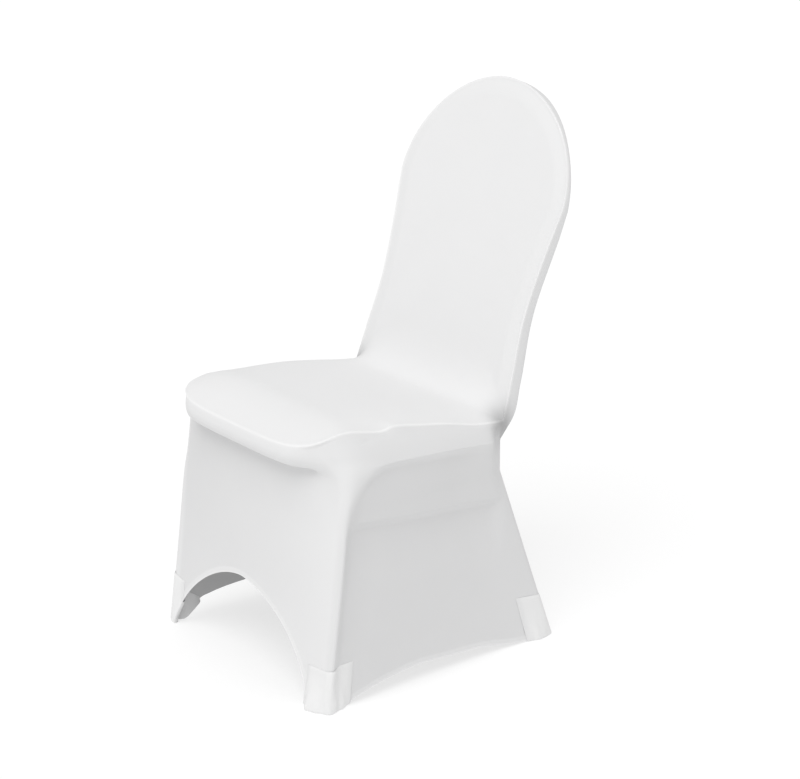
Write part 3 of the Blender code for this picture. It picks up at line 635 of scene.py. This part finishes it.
def softened(grids):
    # points of both panels near their seam move towards the middle of their neighbours, again
    # and again
    rows, reach = seatRow + 1, softening["reach"]
    height = np.arange(rows)
    rise = ramp(height, softening["start"] * railRow, softening["run"] * railRow)
    strength = lerp(softening["foot"], 1.0, rise)
    strength = strength * smooth((rows - 1 - height) / softening["topRows"])
    away = np.abs(np.arange(2 * reach + 1) - reach)
    fade = smooth((reach - away) / (softening["sideFade"] * reach))
    share = 0.5 * strength[:, None, None] * fade[None, :, None]
    for name, turn in (("side_panel_right", 1), ("side_panel_left", -1)):
        centre = grids["centre_panel"][:rows, ::turn][:, -reach - 1:]
        side = grids[name][:rows]
        band = np.concatenate([centre, side[:, 1:reach + 1]], axis=1)
        for _ in range(softening["passes"]):
            middle = band.copy()
            middle[1:-1, 1:-1] = neighboursMiddle(band)
            band = lerp(band, middle, share)
        centre[:], side[:, :reach + 1] = band[:, :reach + 1], band[:, reach:]


# cloth: relief, thickness and mesh
relief = {
    "ridge": 0.0013, "ridgeWidth": 0.0036,   # rolled seam round the seat and the rim
    "ridgeFront": 0.6,   # its strength in the middle of the front
    "hem": 0.0003, "hemWidth": 0.0085, "hemFade": 0.0012,   # turned hem
    "hemFold": 0.0035,   # width of the hem's brighter fold
    # how far seams, hems and their folds take on the colour of doubled cloth
    "seamShade": 1.2, "hemShade": 0.28, "foldShade": 0.5,
    "ripple": 0.0005, "calm": 0.03,   # unevenness of the stretched cloth, less by seams
    # its waves: pull along x, y and z, and where they start
    "waves": ((9.0, 5.0, 14.0, 0.3), (17.0, -11.0, 6.0, 1.9), (4.0, 21.0, -17.0, 4.1),
              (-26.0, 7.0, 12.0, 2.6)),
    "sharpest": 0.72,   # where a corner shortens the mean normal more, it grows no further
    "sharpAngle": math.radians(62),
}


def gridNormals(grids, flips):
    # normals at the points of all grids, shared where grids meet; longer at sharp corners
    places = np.concatenate([g.reshape(-1, 3) for g in grids])
    _, index = np.unique(np.round(places / 1e-6).astype(np.int64), axis=0, return_inverse=True)
    index = index.reshape(-1)
    total, weight = np.zeros((index.max() + 1, 3)), np.zeros(index.max() + 1)
    start = 0
    for grid, flip in zip(grids, flips):
        a, b, c, d = grid[:-1, :-1], grid[:-1, 1:], grid[1:, 1:], grid[1:, :-1]
        normal = np.cross(c - a, d - b) * (-1 if flip else 1)
        size = np.linalg.norm(normal, axis=-1)
        number = np.arange(grid.shape[0] * grid.shape[1]).reshape(grid.shape[:2]) + start
        for corner in (number[:-1, :-1], number[:-1, 1:], number[1:, 1:], number[1:, :-1]):
            np.add.at(total, index[corner.reshape(-1)], normal.reshape(-1, 3))
            np.add.at(weight, index[corner.reshape(-1)], size.reshape(-1))
        start += number.size
    mean = total / np.maximum(weight, 1e-15)[:, None]
    length = np.linalg.norm(mean, axis=1)[:, None]
    normals = (mean / np.maximum(length, 1e-9) / np.clip(length, relief["sharpest"], 1.0))[index]
    parts, start = [], 0
    for grid in grids:
        size = grid.shape[0] * grid.shape[1]
        parts.append(normals[start:start + size].reshape(grid.shape))
        start += size
    return parts


def fromHem(grid):
    # distance to the hem, square to it: the walk up a column times the sine between the two
    column = unit(grid[2] - grid[0])
    edge = unit(np.gradient(grid[0], axis=0))
    lean = np.linalg.norm(np.cross(column, edge), axis=-1)
    return walked(grid, 0) * np.maximum(lean, 0.25)[None, :]


def ripples(grid):
    # mean of a few long soft sine waves, each with its own direction and length
    waves = relief["waves"]
    return sum(np.sin(grid @ np.array(w[:3]) + w[3]) for w in waves) / len(waves)


def seamRidge(grid, line, weight):
    # 1 on the seam, falling to 0 at its half width: distance to the nearest stretch of the seam,
    # times the weight that the seam has there
    flat = grid.reshape(-1, 3)
    best, share = np.full(len(flat), 1.0), np.zeros(len(flat))
    for start, end, startWeight, endWeight in zip(line[:-1], line[1:], weight[:-1], weight[1:]):
        way = end - start
        t = np.clip((flat - start) @ way / max(way @ way, 1e-12), 0, 1)
        distance = np.linalg.norm(flat - start - t[:, None] * way, axis=1)
        closer = distance < best
        best[closer], share[closer] = distance[closer], lerp(startWeight, endWeight, t[closer])
    return ((1 - smooth(best / relief["ridgeWidth"])) * share).reshape(grid.shape[:2])


def knitMesh(name, outer, inner, uv, marks, flip, material):
    # closed sheet: the outer grid, the inner grid turned over, and a wall round the edge
    rows, columns = outer.shape[:2]
    count = rows * columns
    number = np.arange(count).reshape(rows, columns)
    faces = [number[:-1, :-1], number[:-1, 1:], number[1:, 1:], number[1:, :-1]]
    faces = np.stack(faces, -1).reshape(-1, 4)
    rim = np.concatenate([number[0], number[1:, -1], number[-1, -2::-1], number[-2:0:-1, 0]])
    ahead = np.roll(rim, -1)
    walls = np.stack([rim, rim + count, ahead + count, ahead], 1)
    allFaces = np.concatenate([faces, faces[:, ::-1] + count, walls])
    if flip:
        allFaces = allFaces[:, ::-1]
    verts = np.concatenate([outer.reshape(-1, 3), inner.reshape(-1, 3)])
    verts = verts - [0.0, cover["middleY"], 0.0]
    mesh = bpy.data.meshes.new(name)
    mesh.from_pydata(verts.tolist(), [], allFaces.tolist())
    mesh.update()
    layer = mesh.uv_layers.new(name="knit")
    flat = np.concatenate([uv.reshape(-1, 2), uv.reshape(-1, 2)])
    layer.data.foreach_set("uv", flat[allFaces.reshape(-1)].reshape(-1))
    for mark, values in marks.items():
        face = values.reshape(-1)
        # the inner faces take the inside mark in full, which paints them darker as shade
        behind = np.ones(count) if mark == "inside" else face
        both = np.concatenate([face, behind]).astype(np.float32)
        mesh.attributes.new(mark, "FLOAT", "POINT").data.foreach_set("value", both)
    mesh.shade_smooth()
    mesh.set_sharp_from_angle(angle=relief["sharpAngle"])
    mesh.materials.append(material)
    piece = bpy.data.objects.new(name, mesh)
    bpy.context.scene.collection.objects.link(piece)
    return piece


# materials
class Wire:
    # a socket that sums, differences and products can be written with
    def __init__(self, mill, socket):
        self.mill, self.socket = mill, socket

    def reckon(self, operation, first, second):
        return self.mill.node("ShaderNodeMath", {"operation": operation}, {0: first, 1: second})

    def __add__(self, other):
        return self.reckon("ADD", self, other)

    __radd__ = __add__

    def __sub__(self, other):
        return self.reckon("SUBTRACT", self, other)

    def __rsub__(self, other):
        return self.reckon("SUBTRACT", other, self)

    def __mul__(self, other):
        return self.reckon("MULTIPLY", self, other)

    __rmul__ = __mul__


class Mill:
    # one material's node tree
    def __init__(self, name):
        self.material = bpy.data.materials.new(name)
        self.material.use_nodes = True
        self.tree = self.material.node_tree
        self.shader = self.tree.nodes["Principled BSDF"]

    def node(self, kind, settings=None, sockets=None, output=0):
        made = self.tree.nodes.new(kind)
        for key, value in (settings or {}).items():
            setattr(made, key, value)
        for key, value in (sockets or {}).items():
            self.put(made.inputs[key], value)
        return Wire(self, made.outputs[output])

    def put(self, socket, value):
        if isinstance(value, Wire):
            self.tree.links.new(value.socket, socket)
        else:
            socket.default_value = value

    def dress(self, **values):
        # sets the shader's sockets, with _ for the spaces in their names
        for label, value in values.items():
            self.put(self.shader.inputs[label.replace("_", " ")], value)

    def sine(self, value):
        return self.node("ShaderNodeMath", {"operation": "SINE"}, {0: value})

    def blend(self, share, first, second):
        sockets = {0: share, 6: first, 7: second}
        return self.node("ShaderNodeMix", {"data_type": "RGBA"}, sockets, output=2)

    def mark(self, name):
        return self.node("ShaderNodeAttribute", {"attribute_name": name}, output=2)


knit = {
    "openAndShaded": (0.695, 0.695, 0.698, 1.0),   # one layer over a gap, which shows through it; also the darker end of painted shade
    "backedAndLit": (0.8, 0.8, 0.802, 1.0),   # one layer on what it fits; also the lighter end of painted shade
    "double": (0.87, 0.87, 0.87, 1.0),   # hems and seams, where two layers lie
    "pocket": (0.805, 0.805, 0.805, 1.0),   # pockets, folded double
    "reverseShade": (0.5, 0.5, 0.503, 1.0),   # wrong side, painted darker as shade
    "foldShadeTone": (0.3, 0.3, 0.302, 1.0),   # painted shade deep in the fold where seat, back and side meet
    "foldShadePlace": (0.201, 0.15, 0.4), "foldShadeReach": (0.03, 0.022, 0.034), "foldShadeShare": 0.75,
    "wale": 0.0012, "course": 0.0009,   # pitch of the knit across and along
    "slant": 1.2,   # how far a wale pushes the courses
    "cloudScale": 14.0, "fuzzScale": 900.0,
    "cloudTint": 0.05, "waleTint": 0.006, "tint": 0.8,
    "waleHigh": 0.5, "courseHigh": 0.35, "fuzzHigh": 0.5, "relief": 0.1, "reliefDepth": 0.0003,
    "roughness": 0.78, "roughnessChange": 0.1, "specular": 0.25,
    "sheen": 0.15, "sheenRoughness": 0.5,
}


def knitMaterial(name, doubled):
    mill = Mill(name)
    uv = mill.node("ShaderNodeUVMap", {"uv_map": "knit"})
    u = mill.node("ShaderNodeSeparateXYZ", None, {0: uv})
    v = Wire(mill, u.socket.node.outputs[1])
    place = mill.node("ShaderNodeTexCoord", output=3)   # object coordinates
    turn = 2 * math.pi
    wale = mill.sine(u * (turn / knit["wale"]))
    course = mill.sine(v * (turn / knit["course"]) + wale * knit["slant"])
    cloud, fuzz = (
        mill.node("ShaderNodeTexNoise", None, {"Vector": place, "Scale": scale, "Detail": detail})
        for scale, detail in ((knit["cloudScale"], 3.0), (knit["fuzzScale"], 1.0))
    )
    # one layer's tone, over a gap or on what it fits, with painted shade and light in its mark
    single = mill.blend(mill.mark("backedAndLit"), knit["openAndShaded"], knit["backedAndLit"])
    ground = mill.blend(mill.mark("layers"), single, knit["pocket" if doubled else "double"])
    shade = (cloud - 0.5) * knit["cloudTint"] + wale * knit["waleTint"] + 0.5
    grey = mill.node("ShaderNodeCombineColor", None, {0: shade, 1: shade, 2: shade})
    tinted = mill.node("ShaderNodeMix", {"data_type": "RGBA", "blend_type": "SOFT_LIGHT"},
                       {0: knit["tint"], 6: ground, 7: grey}, output=2)
    # painted shade: the fold's mark darkens the cloth deep where seat, back and side meet
    tinted = mill.blend(mill.mark("paintedFoldShade"), tinted, knit["foldShadeTone"])
    height = wale * knit["waleHigh"] + course * knit["courseHigh"] + fuzz * knit["fuzzHigh"]
    # the inside mark paints the wrong side and the pockets' inner walls darker as shade
    mill.dress(
        Base_Color=mill.blend(mill.mark("inside"), tinted, knit["reverseShade"]),
        Roughness=(cloud - 0.5) * knit["roughnessChange"] + knit["roughness"],
        Normal=mill.node("ShaderNodeBump", None, {"Height": height, "Strength": knit["relief"],
                                                  "Distance": knit["reliefDepth"]}),
        Sheen_Weight=knit["sheen"], Sheen_Roughness=knit["sheenRoughness"],
        Specular_IOR_Level=knit["specular"],
    )
    return mill.material


clothKnit = knitMaterial("whiteKnit", False)
pocketKnit = knitMaterial("whiteKnitDoubled", True)
print("materials ready")

# panels
grids = {
    "centre_panel": centrePanel(), "rear_panel": rearPanel(),
    "side_panel_right": sidePanel(skirt["hemRight"], 1),
    "side_panel_left": sidePanel(skirt["hemLeft"], -1) * mirror,
}
flips = [False, True, False, True]   # whether the grid's faces turn over
softened(grids)
print("panel grids worked out")

# how much the cloth lies on what it fits, from 0 over a gap to 1, partly painted shade: lower
# values paint the cloth darker, higher ones lighter; where a value has a pair, that is the place
# where it sets in and the run over which it does
backingAndShade = {
    "least": 0.06,
    "front": 0.47, "frontTurn": 0.4,   # in the middle of the skirt, gained to the right: painted shade darker to the left
    "frontLoss": 0.35, "frontRows": (0.45, 0.55),   # lost upwards, a painted shadow under the boxing, in shares of the skirt's rows
    "legEdge": (0.86, 0.12), "legs": 0.75, "cornerEdge": (0.93, 0.07),
    "boxing": 0.6, "boxingRows": (4, 8), "seat": 0.4, "seatRows": (-6, 8),
    "rearLegs": 0.24, "rear": 0.62, "rearRows": (-12, 54),
    "legLow": 0.3, "legHigh": 0.72, "legRise": (0.28, 0.08),
    "crestLoss": 0.32, "crestRise": (0.402, 0.02),
    "side": 0.27, "sideRun": (-0.175, 0.06), "openTop": (0.355, 0.03), "openRear": (0.02, -0.12),
    "pocket": 0.35,
}


def foldShadeMark(grid):
    # painted shade: a bell round each of the two places where seat, back and side meet
    away = (np.abs(grid) * [1, 0, 0] + grid * [0, 1, 1] - knit["foldShadePlace"]) / knit["foldShadeReach"]
    return knit["foldShadeShare"] * np.exp(-(away**2).sum(-1))


def legShade(z):
    # along the front leg's corner, brighter under the rail and dimmer by the seat
    rise = lerp(backingAndShade["legLow"], backingAndShade["legHigh"], ramp(z, *backingAndShade["legRise"]))
    return rise - backingAndShade["crestLoss"] * ramp(z, *backingAndShade["crestRise"])


def backingShadeMark(name, grid):
    # 1 where the cloth lies on what it fits, 0 where it spans a gap; partly painted shade: darker
    # to the skirt's left and under the boxing, lighter on the leg's corner under the rail, dimmer
    # by the seat
    rows, sideways = np.arange(grid.shape[0])[:, None], np.abs(across)[None, :]
    legsHold = ramp(sideways, *backingAndShade["legEdge"])
    least = backingAndShade["least"]
    if name == "centre_panel":
        start, run = (share * railRow for share in backingAndShade["frontRows"])
        spread = (backingAndShade["front"] + backingAndShade["frontTurn"] * across)[None, :]
        spread = spread * (1 - backingAndShade["frontLoss"] * ramp(rows, start, run))
        above = (backingAndShade["boxing"] * ramp(rows - railRow, *backingAndShade["boxingRows"])
                 + backingAndShade["seat"] * ramp(rows - seatRow, *backingAndShade["seatRows"]))
        held = np.maximum(np.maximum(spread, legsHold * backingAndShade["legs"]), above)
        corner = ramp(sideways, *backingAndShade["cornerEdge"]) * (rows < seatRow)
        return lerp(held, least + legShade(grid[..., 2]), corner)
    if name == "rear_panel":
        upwards = ramp(rows - railRow, *backingAndShade["rearRows"])
        return lerp(least + backingAndShade["rearLegs"] * legsHold, backingAndShade["rear"], upwards)
    y, z = grid[..., 1], grid[..., 2]
    held = np.where(rows < railRow, 1 - recess(y, z) / skirt["recess"], 1.0)
    byLeg = lerp(legShade(z), backingAndShade["side"], ramp(y, *backingAndShade["sideRun"]))
    closed = np.maximum(ramp(z, *backingAndShade["openTop"]), ramp(y, *backingAndShade["openRear"]))
    return held * byLeg * closed + least


centreGrid = grids["centre_panel"]
seatLoop = np.concatenate([centreGrid[backRow:seatRow:-1, 0], centreGrid[seatRow],
                           centreGrid[seatRow + 1:backRow + 1, -1]])
sideWeight = np.ones(cover["sideColumns"])
seatWeight = np.concatenate([sideWeight, lerp(relief["ridgeFront"], 1.0, across**6), sideWeight])
rimLoop = np.concatenate([centreGrid[backRow:, 0], centreGrid[-1], centreGrid[:backRow - 1:-1, -1]])

raised, marksOf = {}, {}
for (name, grid), normal in zip(grids.items(), gridNormals(list(grids.values()), flips)):
    seams = np.zeros(grid.shape[:2])
    if name != "rear_panel":
        seams[railRow:] = seamRidge(grid[railRow:], seatLoop, seatWeight)
    if name in ("centre_panel", "rear_panel"):
        rimRidge = seamRidge(grid[railRow:], rimLoop, np.ones(len(rimLoop)))
        seams[railRow:] = np.maximum(seams[railRow:], rimRidge)
    over = walked(grid, 1)
    calm = smooth(np.minimum(over, over[:, -1:] - over) / relief["calm"])
    calm = calm * smooth(walked(grid[::-1], 0)[::-1] / relief["calm"])
    lift = relief["ridge"] * seams + relief["ripple"] * ripples(grid) * calm
    raised[name] = grid + unit(normal) * lift[..., None]
    hem = 1 - ramp(fromHem(grid), relief["hemWidth"], relief["hemFade"])
    marksOf[name] = (seams, hem, backingShadeMark(name, grid))

# each panel's cloth: outer and inner faces, marks and mesh
raisedNormals = gridNormals(list(raised.values()), flips)
for (name, grid), normal, flip in zip(raised.items(), raisedNormals, flips):
    seams, hem, backedAndLit = marksOf[name]
    outer = grid + unit(normal) * (relief["hem"] * hem)[..., None]
    inner = grid - normal * cover["knit"]
    uv = np.stack([walked(grid, 1), walked(grid, 0)], -1)
    hemEdge = 1 - smooth(fromHem(grid) / relief["hemFold"])
    hemShade = hem * (relief["hemShade"] + relief["foldShade"] * hemEdge)
    marks = {"layers": np.clip(np.maximum(seams * relief["seamShade"], hemShade), 0, 1),
             "backedAndLit": backedAndLit, "inside": np.zeros(grid.shape[:2]), "paintedFoldShade": foldShadeMark(grid)}
    cloth = knitMesh(name + "_cloth", outer, inner, uv, marks, flip, clothKnit)
    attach(cloth, "root")
    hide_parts(name)
    print("panel", name, len(cloth.data.polygons), "faces")

pockets = {
    "gap": 0.0005, "knit": 0.001, "cadKnit": 0.0012, "inset": 0.0034, "endInset": 0.0012,
    "innerGap": 0.0007, "soleStand": 0.0036, "soleRound": 0.0035, "innerLeast": 0.006,
    "endRuns": 5,   # a fifth of its way, on which the wall leaves the panel
    "floorClear": 0.0004,   # of the sole's inner face
    "edgeWidth": 0.003, "edgeDrop": 0.00125, "edgeKnit": 0.00025,   # edges sewn down, thinned
    "cutLength": 0.15,
    "columns": 26, "crowding": 1.4, "topPower": 0.8,
    "outerRows": 22, "turnRows": 6, "soleRows": 6, "innerRows": 9,
    "hemFollow": 0.96, "toeHeight": 0.06, "toeMiddle": 0.58, "toeSpread": 0.5,
    "flankRise": 0.25, "flankFall": (0.5, 0.5),
    "endShade": 0.15, "endFade": 0.015, "innerShade": 0.35, "innerFade": 3,
    # small pleats: height, number round the foot, where they start, how they lean, height of their
    # band, how far they go in; finer crumples over them: share, along the foot, up
    "pleat": 0.0005, "pleats": 3.2, "pleatStart": 1.3, "pleatLean": 60, "pleatHeight": 0.04,
    "pleatIn": -0.0004, "crumple": (0.6, 17, 90),
    # side, end, width across, length along, height under the arch, at the corner and along the
    # side; inner wall's height, its fall along the side and its lean to the panels; how far the
    # toe and the side stand out, strength of the pleats
    "feet": {
        "pocket_front_right": (1, -1, 0.058, 0.052, 0.067, 0.0735, 0.076,
                               0.034, 0.004, 0.3, 0.014, 0.007, 1.6),
        "pocket_front_left": (-1, -1, 0.0365, 0.052, 0.083, 0.09, 0.091,
                              0.065, 0.034, 1.0, 0.003, 0.001, 0.6),
        "pocket_rear_right": (1, 1, 0.05, 0.056, 0.085, 0.08, 0.086,
                              0.034, 0.004, 0.3, 0.005, 0.001, 1.0),
        "pocket_rear_left": (-1, 1, 0.05, 0.056, 0.086, 0.08, 0.084,
                             0.034, 0.004, 0.3, 0.005, 0.001, 1.0),
    },
}


def pocketPath(end, shares, z):
    # round the outside of one foot, with a height for each column: from under the arch to the
    # corner on the face, then along the side; places are shares of the face and of the side
    leg, face, other = (frontLeg, frontFace, rearLeg) if end < 0 else (rearLeg, rearFace, frontLeg)
    seamX, seamY = leg(z)
    corner = len(shares[0])
    sideY = seamY[corner:] + shares[1] * (other(z)[1] - seamY)[corner:]
    first = face(shares[0] * seamX[:corner], z[:corner])
    return np.concatenate([first, sideFace(sideY, z[corner:])])


def outward(path, end):
    # level normal of the path, away from the leg
    tangent = np.gradient(path[:, :2], axis=0)
    return -end * unit(np.stack([tangent[:, 1], -tangent[:, 0], np.zeros(len(path))], axis=1))


def pocketGrid(side, end, acrossSize, length, archHigh, low, sideHigh, innerHigh, fall, lean, toe,
               swell, pleats):
    # rows down the outside, round under the sole and up the inside; each row is the foot's own
    # outline at that height, set off from it
    leg, other = (frontLeg, rearLeg) if end < 0 else (rearLeg, frontLeg)
    footX, footY = leg(0.0)
    depth = abs(other(0.0)[1] - footY)
    n, crowding = pockets["columns"], pockets["crowding"]
    t = np.arange(n + 1) / n
    first = 1 - (1 - t) ** crowding * acrossSize / footX
    second = t[1:] ** crowding * length / depth
    reach = np.concatenate([-((1 - t) ** crowding), t[1:] ** crowding])   # 0 at the corner
    shares = (first, second)
    turned = end * reach
    bump = 1 - ramp(turned, pockets["toeMiddle"], pockets["toeSpread"])
    bump = smooth(turned / pockets["toeMiddle"]) * bump
    flank = smooth(reach / pockets["flankRise"]) * (1 - ramp(reach, *pockets["flankFall"]))
    # height of the panels' hems over the pocket's columns
    hemXi, hemZ = hemColumns(skirt["frontArch" if end < 0 else "rearArch"], footX)
    frontHem = np.interp(side * first, hemXi, hemZ)
    sideY = footY - end * t[1:] ** crowding * length
    sideHem = through(skirt["hemRight" if side > 0 else "hemLeft"], sideY)
    floorLine = np.maximum(np.concatenate([frontHem, sideHem]) - cover["hemLow"], 0.0)
    floorLine = floorLine * pockets["hemFollow"]
    toeWay = np.array([0.0, -toe, 0.0] if end < 0 else [toe, 0.0, 0.0])
    standOff = pockets["gap"] + pockets["cadKnit"]

    ways = outward(pocketPath(end, shares, np.zeros(len(reach))), end)

    def outside(heights, tuck=0.0):
        # off the panels by the gap, with toe, swell and pleats that fade upwards
        path = pocketPath(end, shares, heights)
        near = (1 - smooth(heights / pockets["toeHeight"]))[:, None]
        crumple, alongFoot, upFoot = pockets["crumple"]
        wave = np.sin(2 * np.pi * pockets["pleats"] * reach + pockets["pleatStart"]
                      + pockets["pleatLean"] * heights)
        wave = wave + crumple * np.sin(alongFoot * reach - upFoot * heights)
        crimp = pleats * pockets["pleat"] * wave * (1 - smooth(heights / pockets["pleatHeight"]))
        return (path + (toeWay * bump[:, None] + [swell, 0.0, 0.0] * flank[:, None]) * near
                + ways * (standOff - tuck + np.maximum(crimp, pockets["pleatIn"]))[:, None])

    def inside(heights, lean, stand=0.0):
        # straight across the leg from end to end, leaning to the panels' own inner face
        path = pocketPath(end, shares, heights)
        start = path[0] + [0.0, -end * pockets["endInset"], 0.0]
        finish = path[-1] - [pockets["endInset"], 0.0, 0.0]
        turn = np.array([start[0], finish[1], 0.0])
        along = np.linspace(0, 1, n + 1)
        one, two = lerp(start, turn, along[:, None]), lerp(turn, finish, along[1:, None])
        # the wall lies close to the panel at its two ends and further in between
        far = pockets["inset"] - pockets["endInset"]
        one[:, 1] += -end * far * smooth(pockets["endRuns"] * along)
        two[:, 0] -= far * smooth(pockets["endRuns"] * along[:0:-1])
        two[:, 1] += -end * far * (1 - along[1:])
        one[:, 0] -= far * along
        hugging = path - outward(path, end) * (cover["knit"] + pockets["innerGap"] + stand)
        made = lerp(np.concatenate([one, two]), hugging, lean)
        made[:, 2] = heights
        return made

    top = lerp(low, np.where(reach < 0, archHigh, sideHigh), np.abs(reach) ** pockets["topPower"])
    radius, stand = pockets["soleRound"], pockets["soleStand"]
    outerSteps = np.linspace(0, 1, pockets["outerRows"])
    rows = [outside(lerp(top, floorLine + radius, s)) for s in outerSteps]
    for angle in np.linspace(0, np.pi / 2, pockets["turnRows"])[1:]:
        rows.append(outside(floorLine + radius * (1 - np.sin(angle)), radius * (1 - np.cos(angle))))
    close = lean >= 1
    straight = lerp(floorLine[0], floorLine[-1], np.clip(np.linspace(-1, 1, len(reach)), 0, 1))
    innerLine = floorLine if close else straight
    innerTop = innerHigh - fall * np.maximum(reach, 0.0)
    innerTop = np.maximum(innerTop, innerLine + pockets["innerLeast"])
    rim, sole = rows[-1], inside(innerLine, 1.0 if close else 0.0, stand)
    rows += [lerp(rim, sole, s) for s in np.linspace(0, 1, pockets["soleRows"])[1:]]
    for s in np.linspace(0, 1, pockets["innerRows"])[1:]:
        leaning = 1.0 if close else lean * smooth(s)
        rows.append(inside(lerp(innerLine, innerTop, s), leaning, stand * (1 - s)))
    return np.stack(rows)


for name, (side, end, *sizes) in pockets["feet"].items():
    grid = pocketGrid(side, end, *sizes) * [side, 1, 1]
    flip = side * end < 0
    (normal,) = gridNormals([grid], [flip])
    walkDown, walkRound = walked(grid, 0), walked(grid, 1)
    ends = np.minimum(walkRound, walkRound[:, -1:] - walkRound)
    thin = 1 - smooth(np.minimum(walkDown, ends) / pockets["edgeWidth"])
    lift = relief["ripple"] * ripples(grid) * smooth((1 - thin) + 0.5)
    grid = grid + unit(normal) * lift[..., None]
    outer = grid - unit(normal) * (pockets["edgeDrop"] * thin)[..., None]
    depth = lerp(pockets["knit"], pockets["edgeDrop"] + pockets["edgeKnit"], thin)
    inner = grid - normal * depth[..., None]
    # nothing goes below the floor
    outer[..., 2] = np.maximum(outer[..., 2], 0.0)
    inner[..., 2] = np.maximum(inner[..., 2], pockets["floorClear"])
    uv = np.stack([walked(grid, 1), walked(grid, 0)], -1)
    pastSole = np.arange(len(grid)) - (pockets["outerRows"] + pockets["turnRows"] - 2)
    shaded = (pockets["innerShade"] * smooth(pastSole / pockets["innerFade"]))[:, None]
    marks = {"layers": lerp(pockets["endShade"], 1.0, smooth(ends / pockets["endFade"])),
             "backedAndLit": np.full(grid.shape[:2], backingAndShade["pocket"]),
             "inside": np.broadcast_to(shaded, grid.shape[:2])}
    cloth = knitMesh(name + "_cloth", outer, inner, uv, marks, flip, pocketKnit)
    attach(cloth, "root")
    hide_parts(name)
print("pockets sewn")

# floor, light and camera
studio = {
    "floorWhite": 0.32, "floorGlow": 0.68, "floorRoughness": 0.9, "floorReach": 30.0,
    "worldStrength": 0.62, "keyStrength": 1.45, "keyAway": 4.0,
    "keySpread": 42.0, "keyHeight": 60.0, "keyTurn": 30.0,   # in degrees
    "target": (0.0061, 0.0397, 0.4233),
    "camera": (2.66159, -2.05424, 1.56049), "lens": 93.84,
}
white = (1.0, 1.0, 1.0, 1.0)

floorMesh = bpy.data.meshes.new("floor")
reach = studio["floorReach"]
corners = [(-reach, -reach, 0), (reach, -reach, 0), (reach, reach, 0), (-reach, reach, 0)]
floorMesh.from_pydata(corners, [], [(0, 1, 2, 3)])
floorPaint = Mill("paleFloor")
floorPaint.dress(
    Base_Color=(studio["floorWhite"],) * 3 + (1.0,), Roughness=studio["floorRoughness"],
    Emission_Color=white, Emission_Strength=studio["floorGlow"],
)
floorMesh.materials.append(floorPaint.material)
floor = bpy.data.objects.new("floor", floorMesh)
bpy.context.scene.collection.objects.link(floor)
floor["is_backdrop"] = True

world = bpy.data.worlds.new("studio")
world.use_nodes = True
sky = world.node_tree.nodes["Background"]
sky.inputs[0].default_value = white
sky.inputs[1].default_value = studio["worldStrength"]
bpy.context.scene.world = world


def aimed(name, data, place, target):
    item = bpy.data.objects.new(name, data)
    item.location = place
    item.rotation_euler = (Vector(target) - Vector(place)).to_track_quat("-Z", "Y").to_euler()
    bpy.context.scene.collection.objects.link(item)
    return item


key = bpy.data.lights.new("key", "SUN")
key.energy = studio["keyStrength"]
key.angle = math.radians(studio["keySpread"])
keyHeight, keyTurn = math.radians(studio["keyHeight"]), math.radians(studio["keyTurn"])
keyWay = np.array([math.sin(keyTurn) * math.cos(keyHeight),
                   -math.cos(keyTurn) * math.cos(keyHeight), math.sin(keyHeight)])
aimed("key", key, (studio["target"] + studio["keyAway"] * keyWay).tolist(), studio["target"])

lens = bpy.data.cameras.new("camera")
lens.lens = studio["lens"]
lens.sensor_width = 36.0
lens.sensor_fit = "HORIZONTAL"
lens.clip_end = 100.0
bpy.context.scene.camera = aimed("camera", lens, studio["camera"], studio["target"])
bpy.context.scene.view_settings.view_transform = "Standard"
print("studio ready")

sizes = {"cad": [list(map(float, corner)) for corner in cadBox],
         "visual": [list(map(float, corner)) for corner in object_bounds()]}
